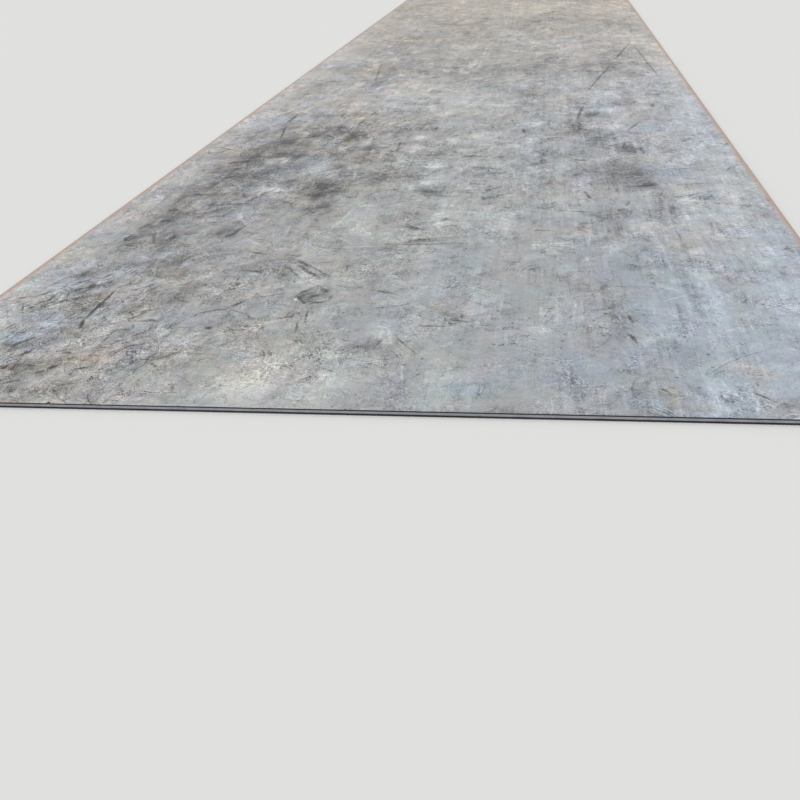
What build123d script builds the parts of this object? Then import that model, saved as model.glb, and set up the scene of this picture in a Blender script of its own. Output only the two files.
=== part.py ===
from build123d import *
import os

# Hot rolled steel plate, one piece of stock lying flat on its underside.
# X runs across the plate, Y along it and Z up, in millimetres.
# The origin is the middle of the underside.

# Stock size
plate_width = 2200.0
plate_length = 10000.0
plate_thickness = 12.0

# Ends, cut across by a guillotine shear. The blade pulls the face down into a rolled-over lip,
# burnishes a land square to the faces, then the steel breaks off on a slope that ends in a burr.
end_lip_reach = 2.0
end_lip_drop = 1.0
end_land_height = 6.0
end_break_setback = 0.9
end_break_hollow = 0.12
end_burr_height = 0.35
end_burr_reach = 0.3

# Long sides, trimmed by rotary knives, which leave the same bands a little smaller
side_lip_reach = 1.3
side_lip_drop = 0.6
side_land_height = 4.4
side_break_setback = 0.7
side_break_hollow = 0.08
side_burr_height = 0.25
side_burr_reach = 0.2


def sheared_edge(lip_reach, lip_drop, land_height, break_setback, break_hollow, burr_height, burr_reach):
    """Section of one sheared edge, from the face that the blade met down to the other face.

    X is outwards from the land and Y is up from the face that carries the burr.
    """
    lip_foot = plate_thickness - lip_drop
    land_foot = lip_foot - land_height
    lip = TangentArc((-lip_reach, plate_thickness), (0, lip_foot), tangent=(1, 0))
    land = Line((0, lip_foot), (0, land_foot))
    break_slope = SagittaArc((0, land_foot), (-break_setback, burr_height), -break_hollow)
    burr = Line((-break_setback, burr_height), (burr_reach - break_setback, 0))
    return Curve() + [lip, land, break_slope, burr]


def end_edge():
    """Section of the cut across an end."""
    return sheared_edge(
        end_lip_reach,
        end_lip_drop,
        end_land_height,
        end_break_setback,
        end_break_hollow,
        end_burr_height,
        end_burr_reach,
    )


def side_edge():
    """Section of the trim along a long side."""
    return sheared_edge(
        side_lip_reach,
        side_lip_drop,
        side_land_height,
        side_break_setback,
        side_break_hollow,
        side_burr_height,
        side_burr_reach,
    )


def lengthways_section():
    """The plate's section along its length, as a face in the YZ plane.

    A cut-to-length shear leaves the front end on its lower blade and takes the far end down with
    its upper one, so the lip is on top at the front and underneath at the far end.
    """
    reach = plate_length / 2
    front = mirror(end_edge(), Plane.YZ).moved(Location((-reach, 0)))
    far = mirror(end_edge(), Plane.XZ).moved(Location((reach, plate_thickness)))
    burr_foot = reach - end_break_setback + end_burr_reach
    lip_start = reach - end_lip_reach
    top = Line((-lip_start, plate_thickness), (burr_foot, plate_thickness))
    underside = Line((-burr_foot, 0), (lip_start, 0))
    return Plane.YZ * make_face(Curve() + [*front.edges(), top, *far.edges(), underside])


def crossways_section():
    """The plate's section across its width, as a face in the XZ plane, with both lips on top."""
    reach = plate_width / 2
    right = side_edge().moved(Location((reach, 0)))
    left = mirror(side_edge(), Plane.YZ).moved(Location((-reach, 0)))
    burr_foot = reach - side_break_setback + side_burr_reach
    lip_start = reach - side_lip_reach
    top = Line((-lip_start, plate_thickness), (lip_start, plate_thickness))
    underside = Line((-burr_foot, 0), (burr_foot, 0))
    return Plane.XZ * make_face(Curve() + [*left.edges(), top, *right.edges(), underside])


def steel_plate():
    """The plate is what its two sections share, so its cuts meet in true corners.

    Each section is drawn out to twice the plate's size, well past the edges that the other cuts.
    """
    lengthways = extrude(Pos(X=-plate_width) * lengthways_section(), amount=2 * plate_width)
    crossways = extrude(Pos(Y=plate_length) * crossways_section(), amount=2 * plate_length)
    plate = (lengthways & crossways).solid()
    plate.label = "steel_plate"
    return plate


os.makedirs("parts", exist_ok=True)
plate = steel_plate()
export_step(plate, "parts/steel_plate.step")
print(f"steel_plate: {plate.volume / 1e9:.5f} cubic metres of steel, valid {plate.is_valid}")
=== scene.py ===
import bisect
import math

import bmesh
import bpy
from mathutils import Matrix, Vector
from mathutils.geometry import delaunay_2d_cdt
from mathutils.noise import noise


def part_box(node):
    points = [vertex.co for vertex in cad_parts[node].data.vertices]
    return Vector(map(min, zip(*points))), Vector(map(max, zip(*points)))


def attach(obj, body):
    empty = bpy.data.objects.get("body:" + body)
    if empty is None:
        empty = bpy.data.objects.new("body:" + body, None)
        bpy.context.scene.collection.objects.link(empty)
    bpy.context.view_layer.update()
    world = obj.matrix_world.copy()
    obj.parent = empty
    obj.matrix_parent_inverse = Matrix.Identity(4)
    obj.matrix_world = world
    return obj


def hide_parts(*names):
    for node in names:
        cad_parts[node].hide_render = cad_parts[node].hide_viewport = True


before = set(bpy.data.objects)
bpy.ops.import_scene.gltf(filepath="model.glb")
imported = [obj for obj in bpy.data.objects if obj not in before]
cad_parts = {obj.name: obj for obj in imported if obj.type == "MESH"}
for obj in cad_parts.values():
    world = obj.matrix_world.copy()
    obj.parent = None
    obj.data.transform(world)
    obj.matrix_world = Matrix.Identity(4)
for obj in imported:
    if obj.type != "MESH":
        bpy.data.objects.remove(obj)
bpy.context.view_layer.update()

# A hot rolled steel plate, grey with mill scale and yard dust, lying flat on a pale floor.
# X runs across the plate, Y along it from the front end, Z up. Lengths are in metres.

MM = 0.001
plate_low, plate_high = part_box("steel_plate")
HALF_WIDTH = plate_high[0]
HALF_LENGTH = plate_high[1]
THICKNESS = plate_high[2] - plate_low[2]
WIDTH = 2 * HALF_WIDTH
LENGTH = 2 * HALF_LENGTH

# The two kinds of cut edge, as in the part: bands read down from the face that the blade met
END_CUT = {
    "lip_reach": 2.0 * MM,
    "lip_drop": 1.0 * MM,
    "land": 6.0 * MM,
    "setback": 0.9 * MM,
    "hollow": 0.12 * MM,
    "burr_height": 0.35 * MM,
    "burr_reach": 0.3 * MM,
}
SIDE_TRIM = {
    "lip_reach": 1.3 * MM,
    "lip_drop": 0.6 * MM,
    "land": 4.4 * MM,
    "setback": 0.7 * MM,
    "hollow": 0.08 * MM,
    "burr_height": 0.25 * MM,
    "burr_reach": 0.2 * MM,
}

# Knocks in the front rim: place from the left side, width and depth
FRONT_KNOCKS = [
    (0.457, 7 * MM, 2.6 * MM),
    (0.748, 5 * MM, 1.6 * MM),
    (1.103, 6 * MM, 1.8 * MM),
    (1.518, 9 * MM, 1.2 * MM),
    (1.846, 5 * MM, 1.5 * MM),
]

# Spacing of the mesh's points: round the rim, and over the two faces
PITCH_AT_FRONT = 6 * MM
PITCH_AT_KNOCKS = 1 * MM
PITCH_AT_FAR_END = 8 * MM
PITCH_AT_SIDES = 22 * MM
PITCH_ON_UPPER_FACE = 55 * MM
PITCH_ON_UNDERSIDE = 180 * MM
RINGS_ON_EDGE = 16
CLOSEST_RINGS = 0.12 * MM
FACE_INSET = 12 * MM
# How far the closer points go to either side of a knock, in widths of the knock
KNOCK_MARGIN = 1.2
# How far down the edge a knock goes, in depths of the knock
KNOCK_DROP = 1.6


def srgb(red, green, blue):
    """A colour as it is seen, 0 to 255 a channel, in the linear numbers that shaders take."""

    def linear(level):
        share = level / 255
        return share / 12.92 if share <= 0.04045 else ((share + 0.055) / 1.055) ** 2.4

    return (linear(red), linear(green), linear(blue), 1.0)


# Mesh of the plate


def setback_at(cut, height):
    """How far a cut edge lies inside its land, at a height above the face with the burr."""
    lip_foot = THICKNESS - cut["lip_drop"]
    land_foot = lip_foot - cut["land"]
    if height >= lip_foot:
        round_radius = (cut["lip_reach"] ** 2 + cut["lip_drop"] ** 2) / (2 * cut["lip_drop"])
        rise = height - (THICKNESS - round_radius)
        return cut["lip_reach"] - math.sqrt(max(round_radius**2 - rise**2, 0))
    if height >= land_foot:
        return 0.0
    if height >= cut["burr_height"]:
        share = (land_foot - height) / (land_foot - cut["burr_height"])
        return cut["setback"] * share + 4 * cut["hollow"] * share * (1 - share)
    share = height / cut["burr_height"]
    return cut["setback"] - cut["burr_reach"] * (1 - share)


def band_at(cut, height):
    """Which band of a cut edge a height lies in."""
    lip_foot = THICKNESS - cut["lip_drop"]
    if height > lip_foot:
        return "lip"
    if height > lip_foot - cut["land"]:
        return "land"
    return "break"


# Each side's cut, and whether its lip is underneath
SIDES = {
    "front": (END_CUT, False),
    "right": (SIDE_TRIM, False),
    "far": (END_CUT, True),
    "left": (SIDE_TRIM, False),
}


def height_on_cut(side, height):
    """Height above the burr's face, which is the upper face on an edge that was cut from below."""
    _, upside_down = SIDES[side]
    return THICKNESS - height if upside_down else height


def side_setback(side, height):
    return setback_at(SIDES[side][0], height_on_cut(side, height))


def edge_levels():
    """Heights of the rings round the edge: close by both faces, and one at each change of band."""
    turns = [math.pi * i / RINGS_ON_EDGE for i in range(RINGS_ON_EDGE + 1)]
    even = [THICKNESS * (1 - math.cos(turn)) / 2 for turn in turns]
    changes = []
    for cut, upside_down in SIDES.values():
        lip_foot = THICKNESS - cut["lip_drop"]
        for height in (lip_foot, lip_foot - cut["land"], cut["burr_height"]):
            changes.append(THICKNESS - height if upside_down else height)
    levels = sorted(set(round(height, 7) for height in changes + [0.0, THICKNESS]))
    for height in even:
        if min(abs(height - other) for other in levels) > CLOSEST_RINGS:
            bisect.insort(levels, height)
    return levels


def stations(span, pitch, knocks=()):
    """Shares from 0 to 1 along a side at about a pitch, and closer round each knock."""
    count = round(span / pitch)
    places = [span * i / count for i in range(count)]
    for place, width, _ in knocks:
        reach = KNOCK_MARGIN * width
        places = [p for p in places if abs(p - place) > reach or p == 0]
        fine = round(2 * reach / PITCH_AT_KNOCKS)
        places += [place - reach + 2 * reach * i / fine for i in range(fine + 1)]
    return [p / span for p in sorted(places)]


def perimeter():
    """The side and the share along it of each station, round from the front left corner."""
    return (
        [("front", share) for share in stations(WIDTH, PITCH_AT_FRONT, FRONT_KNOCKS)]
        + [("right", share) for share in stations(LENGTH, PITCH_AT_SIDES)]
        + [("far", share) for share in stations(WIDTH, PITCH_AT_FAR_END)]
        + [("left", share) for share in stations(LENGTH, PITCH_AT_SIDES)]
    )


ROUGHNESS_BY_BAND = {"lip": 0.10 * MM, "land": 0.035 * MM, "break": 0.16 * MM}
EDGE_WANDER = 0.12 * MM
# Where each side reads the noise. Front and right share a place, which doesn't show, as they
# meet only at a corner
NOISE_PLACES = {"front": 5, "right": 5, "far": 3, "left": 4}
FACE_WAVE = 0.14 * MM
# How far in from the rim the waviness comes up to its full height
WAVE_MARGIN = 80 * MM


def edge_roughness(side, along, height):
    """How far the edge stands proud of its true section: torn at the break, smooth on the land."""
    cut, _ = SIDES[side]
    band = band_at(cut, height_on_cut(side, height))
    own_place = NOISE_PLACES[side]
    wander = EDGE_WANDER * noise(Vector((along * 3.1, own_place * 7.3, 0.0)))
    tooth = noise(Vector((along * 170, height * 620, own_place * 3.7)))
    return wander + ROUGHNESS_BY_BAND[band] * tooth


def rim_knock(x, height):
    """How deep the front rim is knocked in, at a place from the left side and a height."""
    depth = 0.0
    for place, width, deepest in FRONT_KNOCKS:
        off = abs(x - place) / (width / 2)
        fade = max(0.0, 1 - (THICKNESS - height) / (KNOCK_DROP * deepest))
        if off < 1:
            depth = max(depth, deepest * (1 - off**2) * fade)
    return depth


def ring_point(side, share, height):
    """The place of one station on the ring at a height."""
    half_width = {s: HALF_WIDTH - side_setback(s, height) for s in ("left", "right")}
    half_length = {s: HALF_LENGTH - side_setback(s, height) for s in ("front", "far")}
    if side in ("front", "far"):
        share = share if side == "front" else 1 - share
        x = -half_width["left"] + share * (half_width["left"] + half_width["right"])
        proud = edge_roughness(side, x, height)
        if side == "front":
            return (x, -half_length["front"] - proud + rim_knock(x + HALF_WIDTH, height), height)
        return (x, half_length["far"] + proud, height)
    share = share if side == "right" else 1 - share
    y = -half_length["front"] + share * (half_length["front"] + half_length["far"])
    proud = edge_roughness(side, y, height)
    if side == "right":
        return (half_width["right"] + proud, y, height)
    return (-half_width["left"] - proud, y, height)


def face_wave(x, y):
    """The slow waviness that rolling and handling leave in the upper face."""
    edge_distance = min(HALF_WIDTH - abs(x), HALF_LENGTH - abs(y))
    fade = min(1.0, edge_distance / WAVE_MARGIN)
    return FACE_WAVE * fade * noise(Vector((x * 1.7, y * 1.1, 4.2)))


def cap_points(pitch):
    """Points inside a face: one row just inside its rim, then an even field."""
    points = []
    span_across = WIDTH - 2 * FACE_INSET
    span_along = LENGTH - 2 * FACE_INSET
    count_across = round(span_across / pitch)
    count_along = round(span_along / pitch)
    for i in range(count_across + 1):
        for j in range(count_along + 1):
            on_rim = i in (0, count_across) or j in (0, count_along)
            stagger = 0 if on_rim or j % 2 else pitch / 2
            x = -HALF_WIDTH + FACE_INSET + span_across * i / count_across + stagger
            y = -HALF_LENGTH + FACE_INSET + span_along * j / count_along
            if abs(x) <= HALF_WIDTH - FACE_INSET:
                points.append((x, y))
    return points


def cap_triangles(ring, inside):
    """Triangles over a face from its rim and its inner points, as indices into both lists."""
    flat = [Vector((x, y)) for x, y, _ in ring] + [Vector(point) for point in inside]
    outline = list(range(len(ring)))
    _, _, faces, sources, _, _ = delaunay_2d_cdt(flat, [], [outline], 1, 1e-7)
    return [[sources[corner][0] for corner in face] for face in faces]


BANDS = ["lip", "land", "break", "underside"]

# Panels of the upper face, from the left side and the front end: a panel's material holds only
# the marks that reach into it, which keeps each one small
PANELS = [
    (0.0, 0.7, 0.0, 0.8),
    (0.7, 1.25, 0.0, 0.8),
    (1.25, WIDTH, 0.0, 0.8),
    (0.0, 0.6, 0.8, 1.6),
    (0.6, 1.25, 0.8, 1.6),
    (1.25, WIDTH, 0.8, 1.6),
    (0.0, 0.7, 1.6, 2.2),
    (0.7, 1.4, 1.6, 2.2),
    (1.4, WIDTH, 1.6, 2.2),
    (0.0, 0.7, 2.2, 3.1),
    (0.7, 1.4, 2.2, 3.1),
    (1.4, WIDTH, 2.2, 3.1),
    (0.0, WIDTH, 3.1, 5.4),
    (0.0, WIDTH, 5.4, LENGTH),
]


def panel_at(x, y):
    """The panel that holds a place on the upper face."""
    across, along = x + HALF_WIDTH, y + HALF_LENGTH
    for number, (x0, x1, y0, y1) in enumerate(PANELS):
        if x0 <= across <= x1 and y0 <= along <= y1:
            return number
    return len(PANELS) - 1


def edge_faces(levels, around):
    """The faces between the rings, and the slot of the band that each one lies in."""
    count = len(around)
    faces = []
    slots = []
    for level, height in enumerate(levels[:-1]):
        middle = (height + levels[level + 1]) / 2
        low, high = level * count, (level + 1) * count
        for i, (side, _) in enumerate(around):
            following = (i + 1) % count
            faces.append([low + i, low + following, high + following, high + i])
            slots.append(BANDS.index(band_at(SIDES[side][0], height_on_cut(side, middle))))
    return faces, slots


def shade_smooth(mesh):
    """Shade the mesh smoothly, and keep it sharp where two bands or faces meet."""
    for face in mesh.polygons:
        face.use_smooth = True
    bm = bmesh.new()
    bm.from_mesh(mesh)
    for edge in bm.edges:
        # All panels of the upper face count as one
        if len({min(face.material_index, len(BANDS)) for face in edge.link_faces}) > 1:
            edge.smooth = False
    bm.to_mesh(mesh)
    bm.free()


def build_plate():
    """The whole plate as one closed mesh, with a material for each band and face."""
    levels = edge_levels()
    around = perimeter()
    count = len(around)
    vertices = [ring_point(side, share, height) for height in levels for side, share in around]
    faces, slots = edge_faces(levels, around)
    top_ring = (len(levels) - 1) * count
    for first, pitch, up in ((0, PITCH_ON_UNDERSIDE, False), (top_ring, PITCH_ON_UPPER_FACE, True)):
        ring = vertices[first : first + count]
        inside = cap_points(pitch)
        base = len(vertices)
        vertices += [(x, y, THICKNESS + face_wave(x, y) if up else 0.0) for x, y in inside]
        for corners in cap_triangles(ring, inside):
            corners = [first + c if c < count else base + c - count for c in corners]
            faces.append(corners if up else corners[::-1])
            middle = [sum(vertices[c][axis] for c in corners) / 3 for axis in (0, 1)]
            slots.append(len(BANDS) + panel_at(*middle) if up else BANDS.index("underside"))
    mesh = bpy.data.meshes.new("steel_plate_surface")
    mesh.from_pydata(vertices, [], faces)
    mesh.update()
    for face, slot in zip(mesh.polygons, slots):
        face.material_index = slot
    shade_smooth(mesh)
    return bpy.data.objects.new("steel_plate_surface", mesh)


# Shader helpers


def feed(tree, socket, value):
    """Link a socket from another, or set its own value."""
    if isinstance(value, bpy.types.NodeSocket):
        tree.links.new(value, socket)
    else:
        socket.default_value = value


def calc(tree, operation, *terms):
    node = tree.nodes.new("ShaderNodeMath")
    node.operation = operation
    for socket, term in zip(node.inputs, terms):
        feed(tree, socket, term)
    return node.outputs[0]


def vector_calc(tree, operation, *terms):
    node = tree.nodes.new("ShaderNodeVectorMath")
    node.operation = operation
    for socket, term in zip(node.inputs, terms):
        feed(tree, socket, term)
    single = operation in ("LENGTH", "DISTANCE", "DOT_PRODUCT")
    return node.outputs["Value" if single else "Vector"]


def combine(tree, x, y, z=0.0):
    node = tree.nodes.new("ShaderNodeCombineXYZ")
    for socket, term in zip(node.inputs, (x, y, z)):
        feed(tree, socket, term)
    return node.outputs[0]


def split(tree, vector):
    node = tree.nodes.new("ShaderNodeSeparateXYZ")
    feed(tree, node.inputs[0], vector)
    return node.outputs


def blend(tree, share, first, second, mode="MIX"):
    """Mix two colours by a share."""
    node = tree.nodes.new("ShaderNodeMix")
    node.data_type = "RGBA"
    node.blend_type = mode
    feed(tree, node.inputs["Factor"], share)
    feed(tree, node.inputs[6], first)
    feed(tree, node.inputs[7], second)
    return node.outputs[2]


def spread(tree, value, low, high, to_low=0.0, to_high=1.0):
    """Read a value from one range into another in a smooth step, which holds it at both ends."""
    node = tree.nodes.new("ShaderNodeMapRange")
    node.interpolation_type = "SMOOTHSTEP"
    node.clamp = False
    for name, term in (
        ("Value", value),
        ("From Min", low),
        ("From Max", high),
        ("To Min", to_low),
        ("To Max", to_high),
    ):
        feed(tree, node.inputs[name], term)
    return node.outputs[0]


def cloud(tree, place, scale, detail=3.0, roughness=0.55, distortion=0.0, solid=False):
    """Noise of about 0 to 1 at so many lumps a metre, flat over X and Y or solid."""
    node = tree.nodes.new("ShaderNodeTexNoise")
    node.noise_dimensions = "3D" if solid else "2D"
    feed(tree, node.inputs["Vector"], place)
    feed(tree, node.inputs["Scale"], scale)
    feed(tree, node.inputs["Detail"], detail)
    feed(tree, node.inputs["Roughness"], roughness)
    feed(tree, node.inputs["Distortion"], distortion)
    return node.outputs["Fac"]


def lean(tree, value, weight):
    """A noise's distance from its middle, weighted."""
    return calc(tree, "MULTIPLY", calc(tree, "SUBTRACT", value, 0.5), weight)


def held(tree, value):
    """A value held between 0 and 1."""
    return calc(tree, "MAXIMUM", calc(tree, "MINIMUM", value, 1.0), 0.0)


def weigh(tree, mask, weight):
    return calc(tree, "MULTIPLY", mask, weight)


def total(tree, *terms):
    result = terms[0]
    for term in terms[1:]:
        result = calc(tree, "ADD", result, term)
    return result


SOCKETS = {"value": "NodeSocketFloat", "place": "NodeSocketVector", "colour": "NodeSocketColor"}


def effect(name, inputs, outputs):
    """A node group with named inputs and outputs: its tree, its inputs and its outputs."""
    tree = bpy.data.node_groups.new(name, "ShaderNodeTree")
    for socket_name, kind, default in inputs:
        socket = tree.interface.new_socket(
            name=socket_name, in_out="INPUT", socket_type=SOCKETS[kind]
        )
        if default is not None:
            socket.default_value = default
    for socket_name, kind in outputs:
        tree.interface.new_socket(name=socket_name, in_out="OUTPUT", socket_type=SOCKETS[kind])
    given = tree.nodes.new("NodeGroupInput").outputs
    result = tree.nodes.new("NodeGroupOutput").inputs
    return tree, given, result


def use(tree, group, **values):
    """Place a group in a material, with its values by name (an underscore stands for a space)."""
    node = tree.nodes.new("ShaderNodeGroup")
    node.node_tree = group
    for name, value in values.items():
        feed(tree, node.inputs[name.replace("_", " ")], value)
    return node.outputs


# Effects that the faces share


def make_mottle():
    """Cloudy mill scale: one fractal from a fifth of a metre down to a millimetre, broad clouds,
    the streaks that rolls leave along the plate, and how busy each place is."""
    tree, given, result = effect(
        "scale_mottle",
        [("Place", "place", None), ("Seed", "place", (0.0, 0.0, 0.0))],
        [("Broad", "value"), ("Cloud", "value"), ("Streak", "value"), ("Busy", "value")],
    )
    place = vector_calc(tree, "ADD", given["Place"], given["Seed"])
    feed(tree, result["Broad"], cloud(tree, place, 1.7, 3.0, 0.6, 0.5))
    feed(tree, result["Cloud"], cloud(tree, place, 9.0, 7.0, 0.95, 0.1))
    along_roll = vector_calc(tree, "MULTIPLY", place, (1.0, 0.016, 1.0))
    feed(tree, result["Streak"], cloud(tree, along_roll, 38.0, 5.0, 0.85))
    elsewhere = vector_calc(tree, "ADD", place, (17.3, 5.1, 0.0))
    feed(tree, result["Busy"], spread(tree, cloud(tree, elsewhere, 4.5, 4.0, 0.7, 0.8), 0.36, 0.64))
    return tree


def make_flakes():
    """Lifted flakes of scale: the thin broken lines of their rims, and the flakes themselves."""
    tree, given, result = effect(
        "lifted_flakes",
        [("Place", "place", None), ("Per Metre", "value", 9.0), ("Width", "value", 0.02)],
        [("Rim", "value"), ("Flake", "value")],
    )
    level = cloud(tree, given["Place"], given["Per Metre"], 5.0, 0.62, 0.6)
    off = calc(tree, "ABSOLUTE", calc(tree, "SUBTRACT", level, 0.5))
    line = spread(tree, off, given["Width"], 0.0)
    elsewhere = vector_calc(tree, "ADD", given["Place"], (3.7, 8.9, 0.0))
    broken = spread(tree, cloud(tree, elsewhere, 11.0, 4.0, 0.7), 0.45, 0.60)
    feed(tree, result["Rim"], calc(tree, "MULTIPLY", line, broken))
    feed(tree, result["Flake"], calc(tree, "MULTIPLY", spread(tree, level, 0.5, 0.52), broken))
    return tree


def make_flecks():
    """Small ragged flecks that gather in patches, and wherever Here says."""
    tree, given, result = effect(
        "dust_flecks",
        [
            ("Place", "place", None),
            ("Per Metre", "value", 110.0),
            ("Cover", "value", 0.5),
            ("Here", "value", 0.0),
        ],
        [("Mask", "value")],
    )
    lumps = cloud(tree, given["Place"], given["Per Metre"], 3.0, 0.8)
    pits = weigh(tree, spread(tree, lumps, 0.47, 0.36), 0.7)
    fleck = calc(tree, "SUBTRACT", spread(tree, lumps, 0.53, 0.64), pits)
    elsewhere = vector_calc(tree, "ADD", given["Place"], (9.1, 2.3, 0.0))
    low = calc(tree, "SUBTRACT", 0.75, calc(tree, "MULTIPLY", given["Cover"], 0.4))
    patch = cloud(tree, elsewhere, 6.5, 4.0, 0.7)
    patch = spread(tree, patch, low, calc(tree, "ADD", low, 0.16))
    patch = calc(tree, "MAXIMUM", patch, given["Here"])
    feed(tree, result["Mask"], calc(tree, "MULTIPLY", fleck, patch))
    return tree


def make_specks():
    """Scattered round specks, each of its own size."""
    tree, given, result = effect(
        "specks",
        [("Place", "place", None), ("Per Metre", "value", 30.0), ("Size", "value", 0.12)],
        [("Mask", "value")],
    )
    cells = tree.nodes.new("ShaderNodeTexVoronoi")
    cells.voronoi_dimensions = "2D"
    feed(tree, cells.inputs["Vector"], given["Place"])
    feed(tree, cells.inputs["Scale"], given["Per Metre"])
    own = split(tree, cells.outputs["Color"])
    reach = calc(tree, "MULTIPLY", calc(tree, "POWER", own[0], 6.0), given["Size"])
    inner = calc(tree, "MULTIPLY", reach, 0.4)
    feed(tree, result["Mask"], spread(tree, cells.outputs["Distance"], reach, inner))
    return tree


def make_scuffs():
    """Drag marks, one to a cell, each with its own turn, bow, length and strength.
    Line is one scratch down the middle, Wipe a band of fine lines beside it."""
    tree, given, result = effect(
        "drag_scuffs",
        [
            ("Place", "place", None),
            ("Per Metre", "value", 4.0),
            ("Length", "value", 0.3),
            ("Width", "value", 0.012),
            ("Band", "value", 0.12),
        ],
        [("Line", "value"), ("Wipe", "value")],
    )
    scaled = vector_calc(tree, "SCALE", given["Place"])
    feed(tree, scaled.node.inputs["Scale"], given["Per Metre"])
    cells = tree.nodes.new("ShaderNodeTexVoronoi")
    cells.voronoi_dimensions = "2D"
    feed(tree, cells.inputs["Vector"], scaled)
    feed(tree, cells.inputs["Scale"], 1.0)
    own = split(tree, cells.outputs["Color"])
    turn = tree.nodes.new("ShaderNodeVectorRotate")
    turn.rotation_type = "Z_AXIS"
    local = vector_calc(tree, "SUBTRACT", scaled, cells.outputs["Position"])
    feed(tree, turn.inputs["Vector"], local)
    feed(tree, turn.inputs["Angle"], calc(tree, "MULTIPLY", own[0], 6.283))
    x, y, _ = split(tree, turn.outputs[0])
    bow = calc(tree, "MULTIPLY", calc(tree, "MULTIPLY", x, x), lean(tree, own[1], 1.2))
    bowed = calc(tree, "ADD", y, bow)
    off_line = calc(tree, "ABSOLUTE", bowed)
    reach = calc(tree, "MULTIPLY", calc(tree, "ADD", own[2], 0.15), given["Length"])
    ends = spread(tree, calc(tree, "ABSOLUTE", x), reach, calc(tree, "MULTIPLY", reach, 0.5))
    strong = calc(tree, "MULTIPLY", ends, spread(tree, own[1], 0.2, 0.9))
    inner = calc(tree, "MULTIPLY", given["Width"], 0.3)
    line = spread(tree, off_line, given["Width"], inner)
    feed(tree, result["Line"], calc(tree, "MULTIPLY", line, strong))
    hairs = combine(tree, calc(tree, "MULTIPLY", x, 1.5), calc(tree, "MULTIPLY", bowed, 34.0))
    hairs = spread(tree, cloud(tree, hairs, 1.0, 2.0, 0.6), 0.42, 0.66)
    band = spread(tree, off_line, given["Band"], 0.0)
    feed(tree, result["Wipe"], calc(tree, "MULTIPLY", calc(tree, "MULTIPLY", band, hairs), strong))
    return tree


def make_wisps():
    """Thin streaks that all run one way, in loose bundles: dark wisps, pale ones and their grain."""
    tree, given, result = effect(
        "wisps",
        [("Place", "place", None), ("Turn", "value", 0.0), ("Per Metre", "value", 70.0)],
        [("Dark", "value"), ("Pale", "value"), ("Grain", "value")],
    )
    turn = tree.nodes.new("ShaderNodeVectorRotate")
    turn.rotation_type = "Z_AXIS"
    turn.invert = True
    feed(tree, turn.inputs["Vector"], given["Place"])
    feed(tree, turn.inputs["Angle"], given["Turn"])
    drawn_out = vector_calc(tree, "MULTIPLY", turn.outputs[0], (0.08, 1.0, 1.0))
    level = cloud(tree, drawn_out, given["Per Metre"], 4.0, 0.72, 0.12)
    bundle_place = vector_calc(tree, "MULTIPLY", turn.outputs[0], (0.45, 1.0, 1.0))
    bundle = cloud(tree, vector_calc(tree, "ADD", bundle_place, (2.2, 6.6, 0.0)), 8.0, 3.0, 0.6)
    dark = calc(tree, "MULTIPLY", spread(tree, level, 0.45, 0.34), spread(tree, bundle, 0.44, 0.62))
    pale = calc(tree, "MULTIPLY", spread(tree, level, 0.56, 0.67), spread(tree, bundle, 0.58, 0.42))
    feed(tree, result["Dark"], dark)
    feed(tree, result["Pale"], pale)
    feed(tree, result["Grain"], level)
    return tree


def make_mark():
    """An oval mark with a soft rim. Its two axes are each one over half the mark's size that way."""
    tree, given, result = effect(
        "oval_mark",
        [
            ("Place", "place", None),
            ("Centre", "place", (0.0, 0.0, 0.0)),
            ("Long Axis", "place", (20.0, 0.0, 0.0)),
            ("Short Axis", "place", (0.0, 20.0, 0.0)),
            ("Inner", "value", 0.5),
        ],
        [("Mask", "value")],
    )
    away = vector_calc(tree, "SUBTRACT", given["Place"], given["Centre"])
    first = vector_calc(tree, "DOT_PRODUCT", away, given["Long Axis"])
    second = vector_calc(tree, "DOT_PRODUCT", away, given["Short Axis"])
    distance = vector_calc(tree, "LENGTH", combine(tree, first, second))
    feed(tree, result["Mask"], spread(tree, distance, 1.0, given["Inner"]))
    return tree


def make_cast():
    """Tint of a patch: from cool blue grey to warm beige, with a little green or pink in it."""
    tree, given, result = effect(
        "tint_cast",
        [
            ("Place", "place", None),
            ("Warmth", "value", 0.0),
            ("Green", "value", 0.0),
            ("Uneven", "value", 1.0),
        ],
        [("Tint", "colour")],
    )
    lumps = cloud(tree, vector_calc(tree, "ADD", given["Place"], (11.0, 4.0, 0.0)), 3.0, 6.0, 0.85)
    patches = calc(tree, "MULTIPLY", lean(tree, lumps, 2.6), given["Uneven"])
    warmth = calc(tree, "ADD", given["Warmth"], patches)
    share = held(tree, calc(tree, "ADD", 0.5, calc(tree, "MULTIPLY", warmth, 0.5)))
    cool_to_warm = blend(tree, share, (0.88, 0.99, 1.13, 1.0), (1.13, 1.02, 0.87, 1.0))
    pink = cloud(tree, vector_calc(tree, "ADD", given["Place"], (2.0, 19.0, 0.0)), 9.0, 4.0, 0.8)
    pink_share = calc(tree, "ADD", 0.5, lean(tree, pink, 2.2))
    pink_share = held(tree, calc(tree, "SUBTRACT", pink_share, given["Green"]))
    green_to_pink = blend(tree, pink_share, (0.97, 1.024, 0.97, 1.0), (1.03, 0.97, 1.024, 1.0))
    feed(tree, result["Tint"], blend(tree, 1.0, cool_to_warm, green_to_pink, "MULTIPLY"))
    return tree


MOTTLE = make_mottle()
FLAKES = make_flakes()
FLECKS = make_flecks()
SPECKS = make_specks()
SCUFFS = make_scuffs()
WISPS = make_wisps()
MARK = make_mark()
CAST = make_cast()


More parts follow.
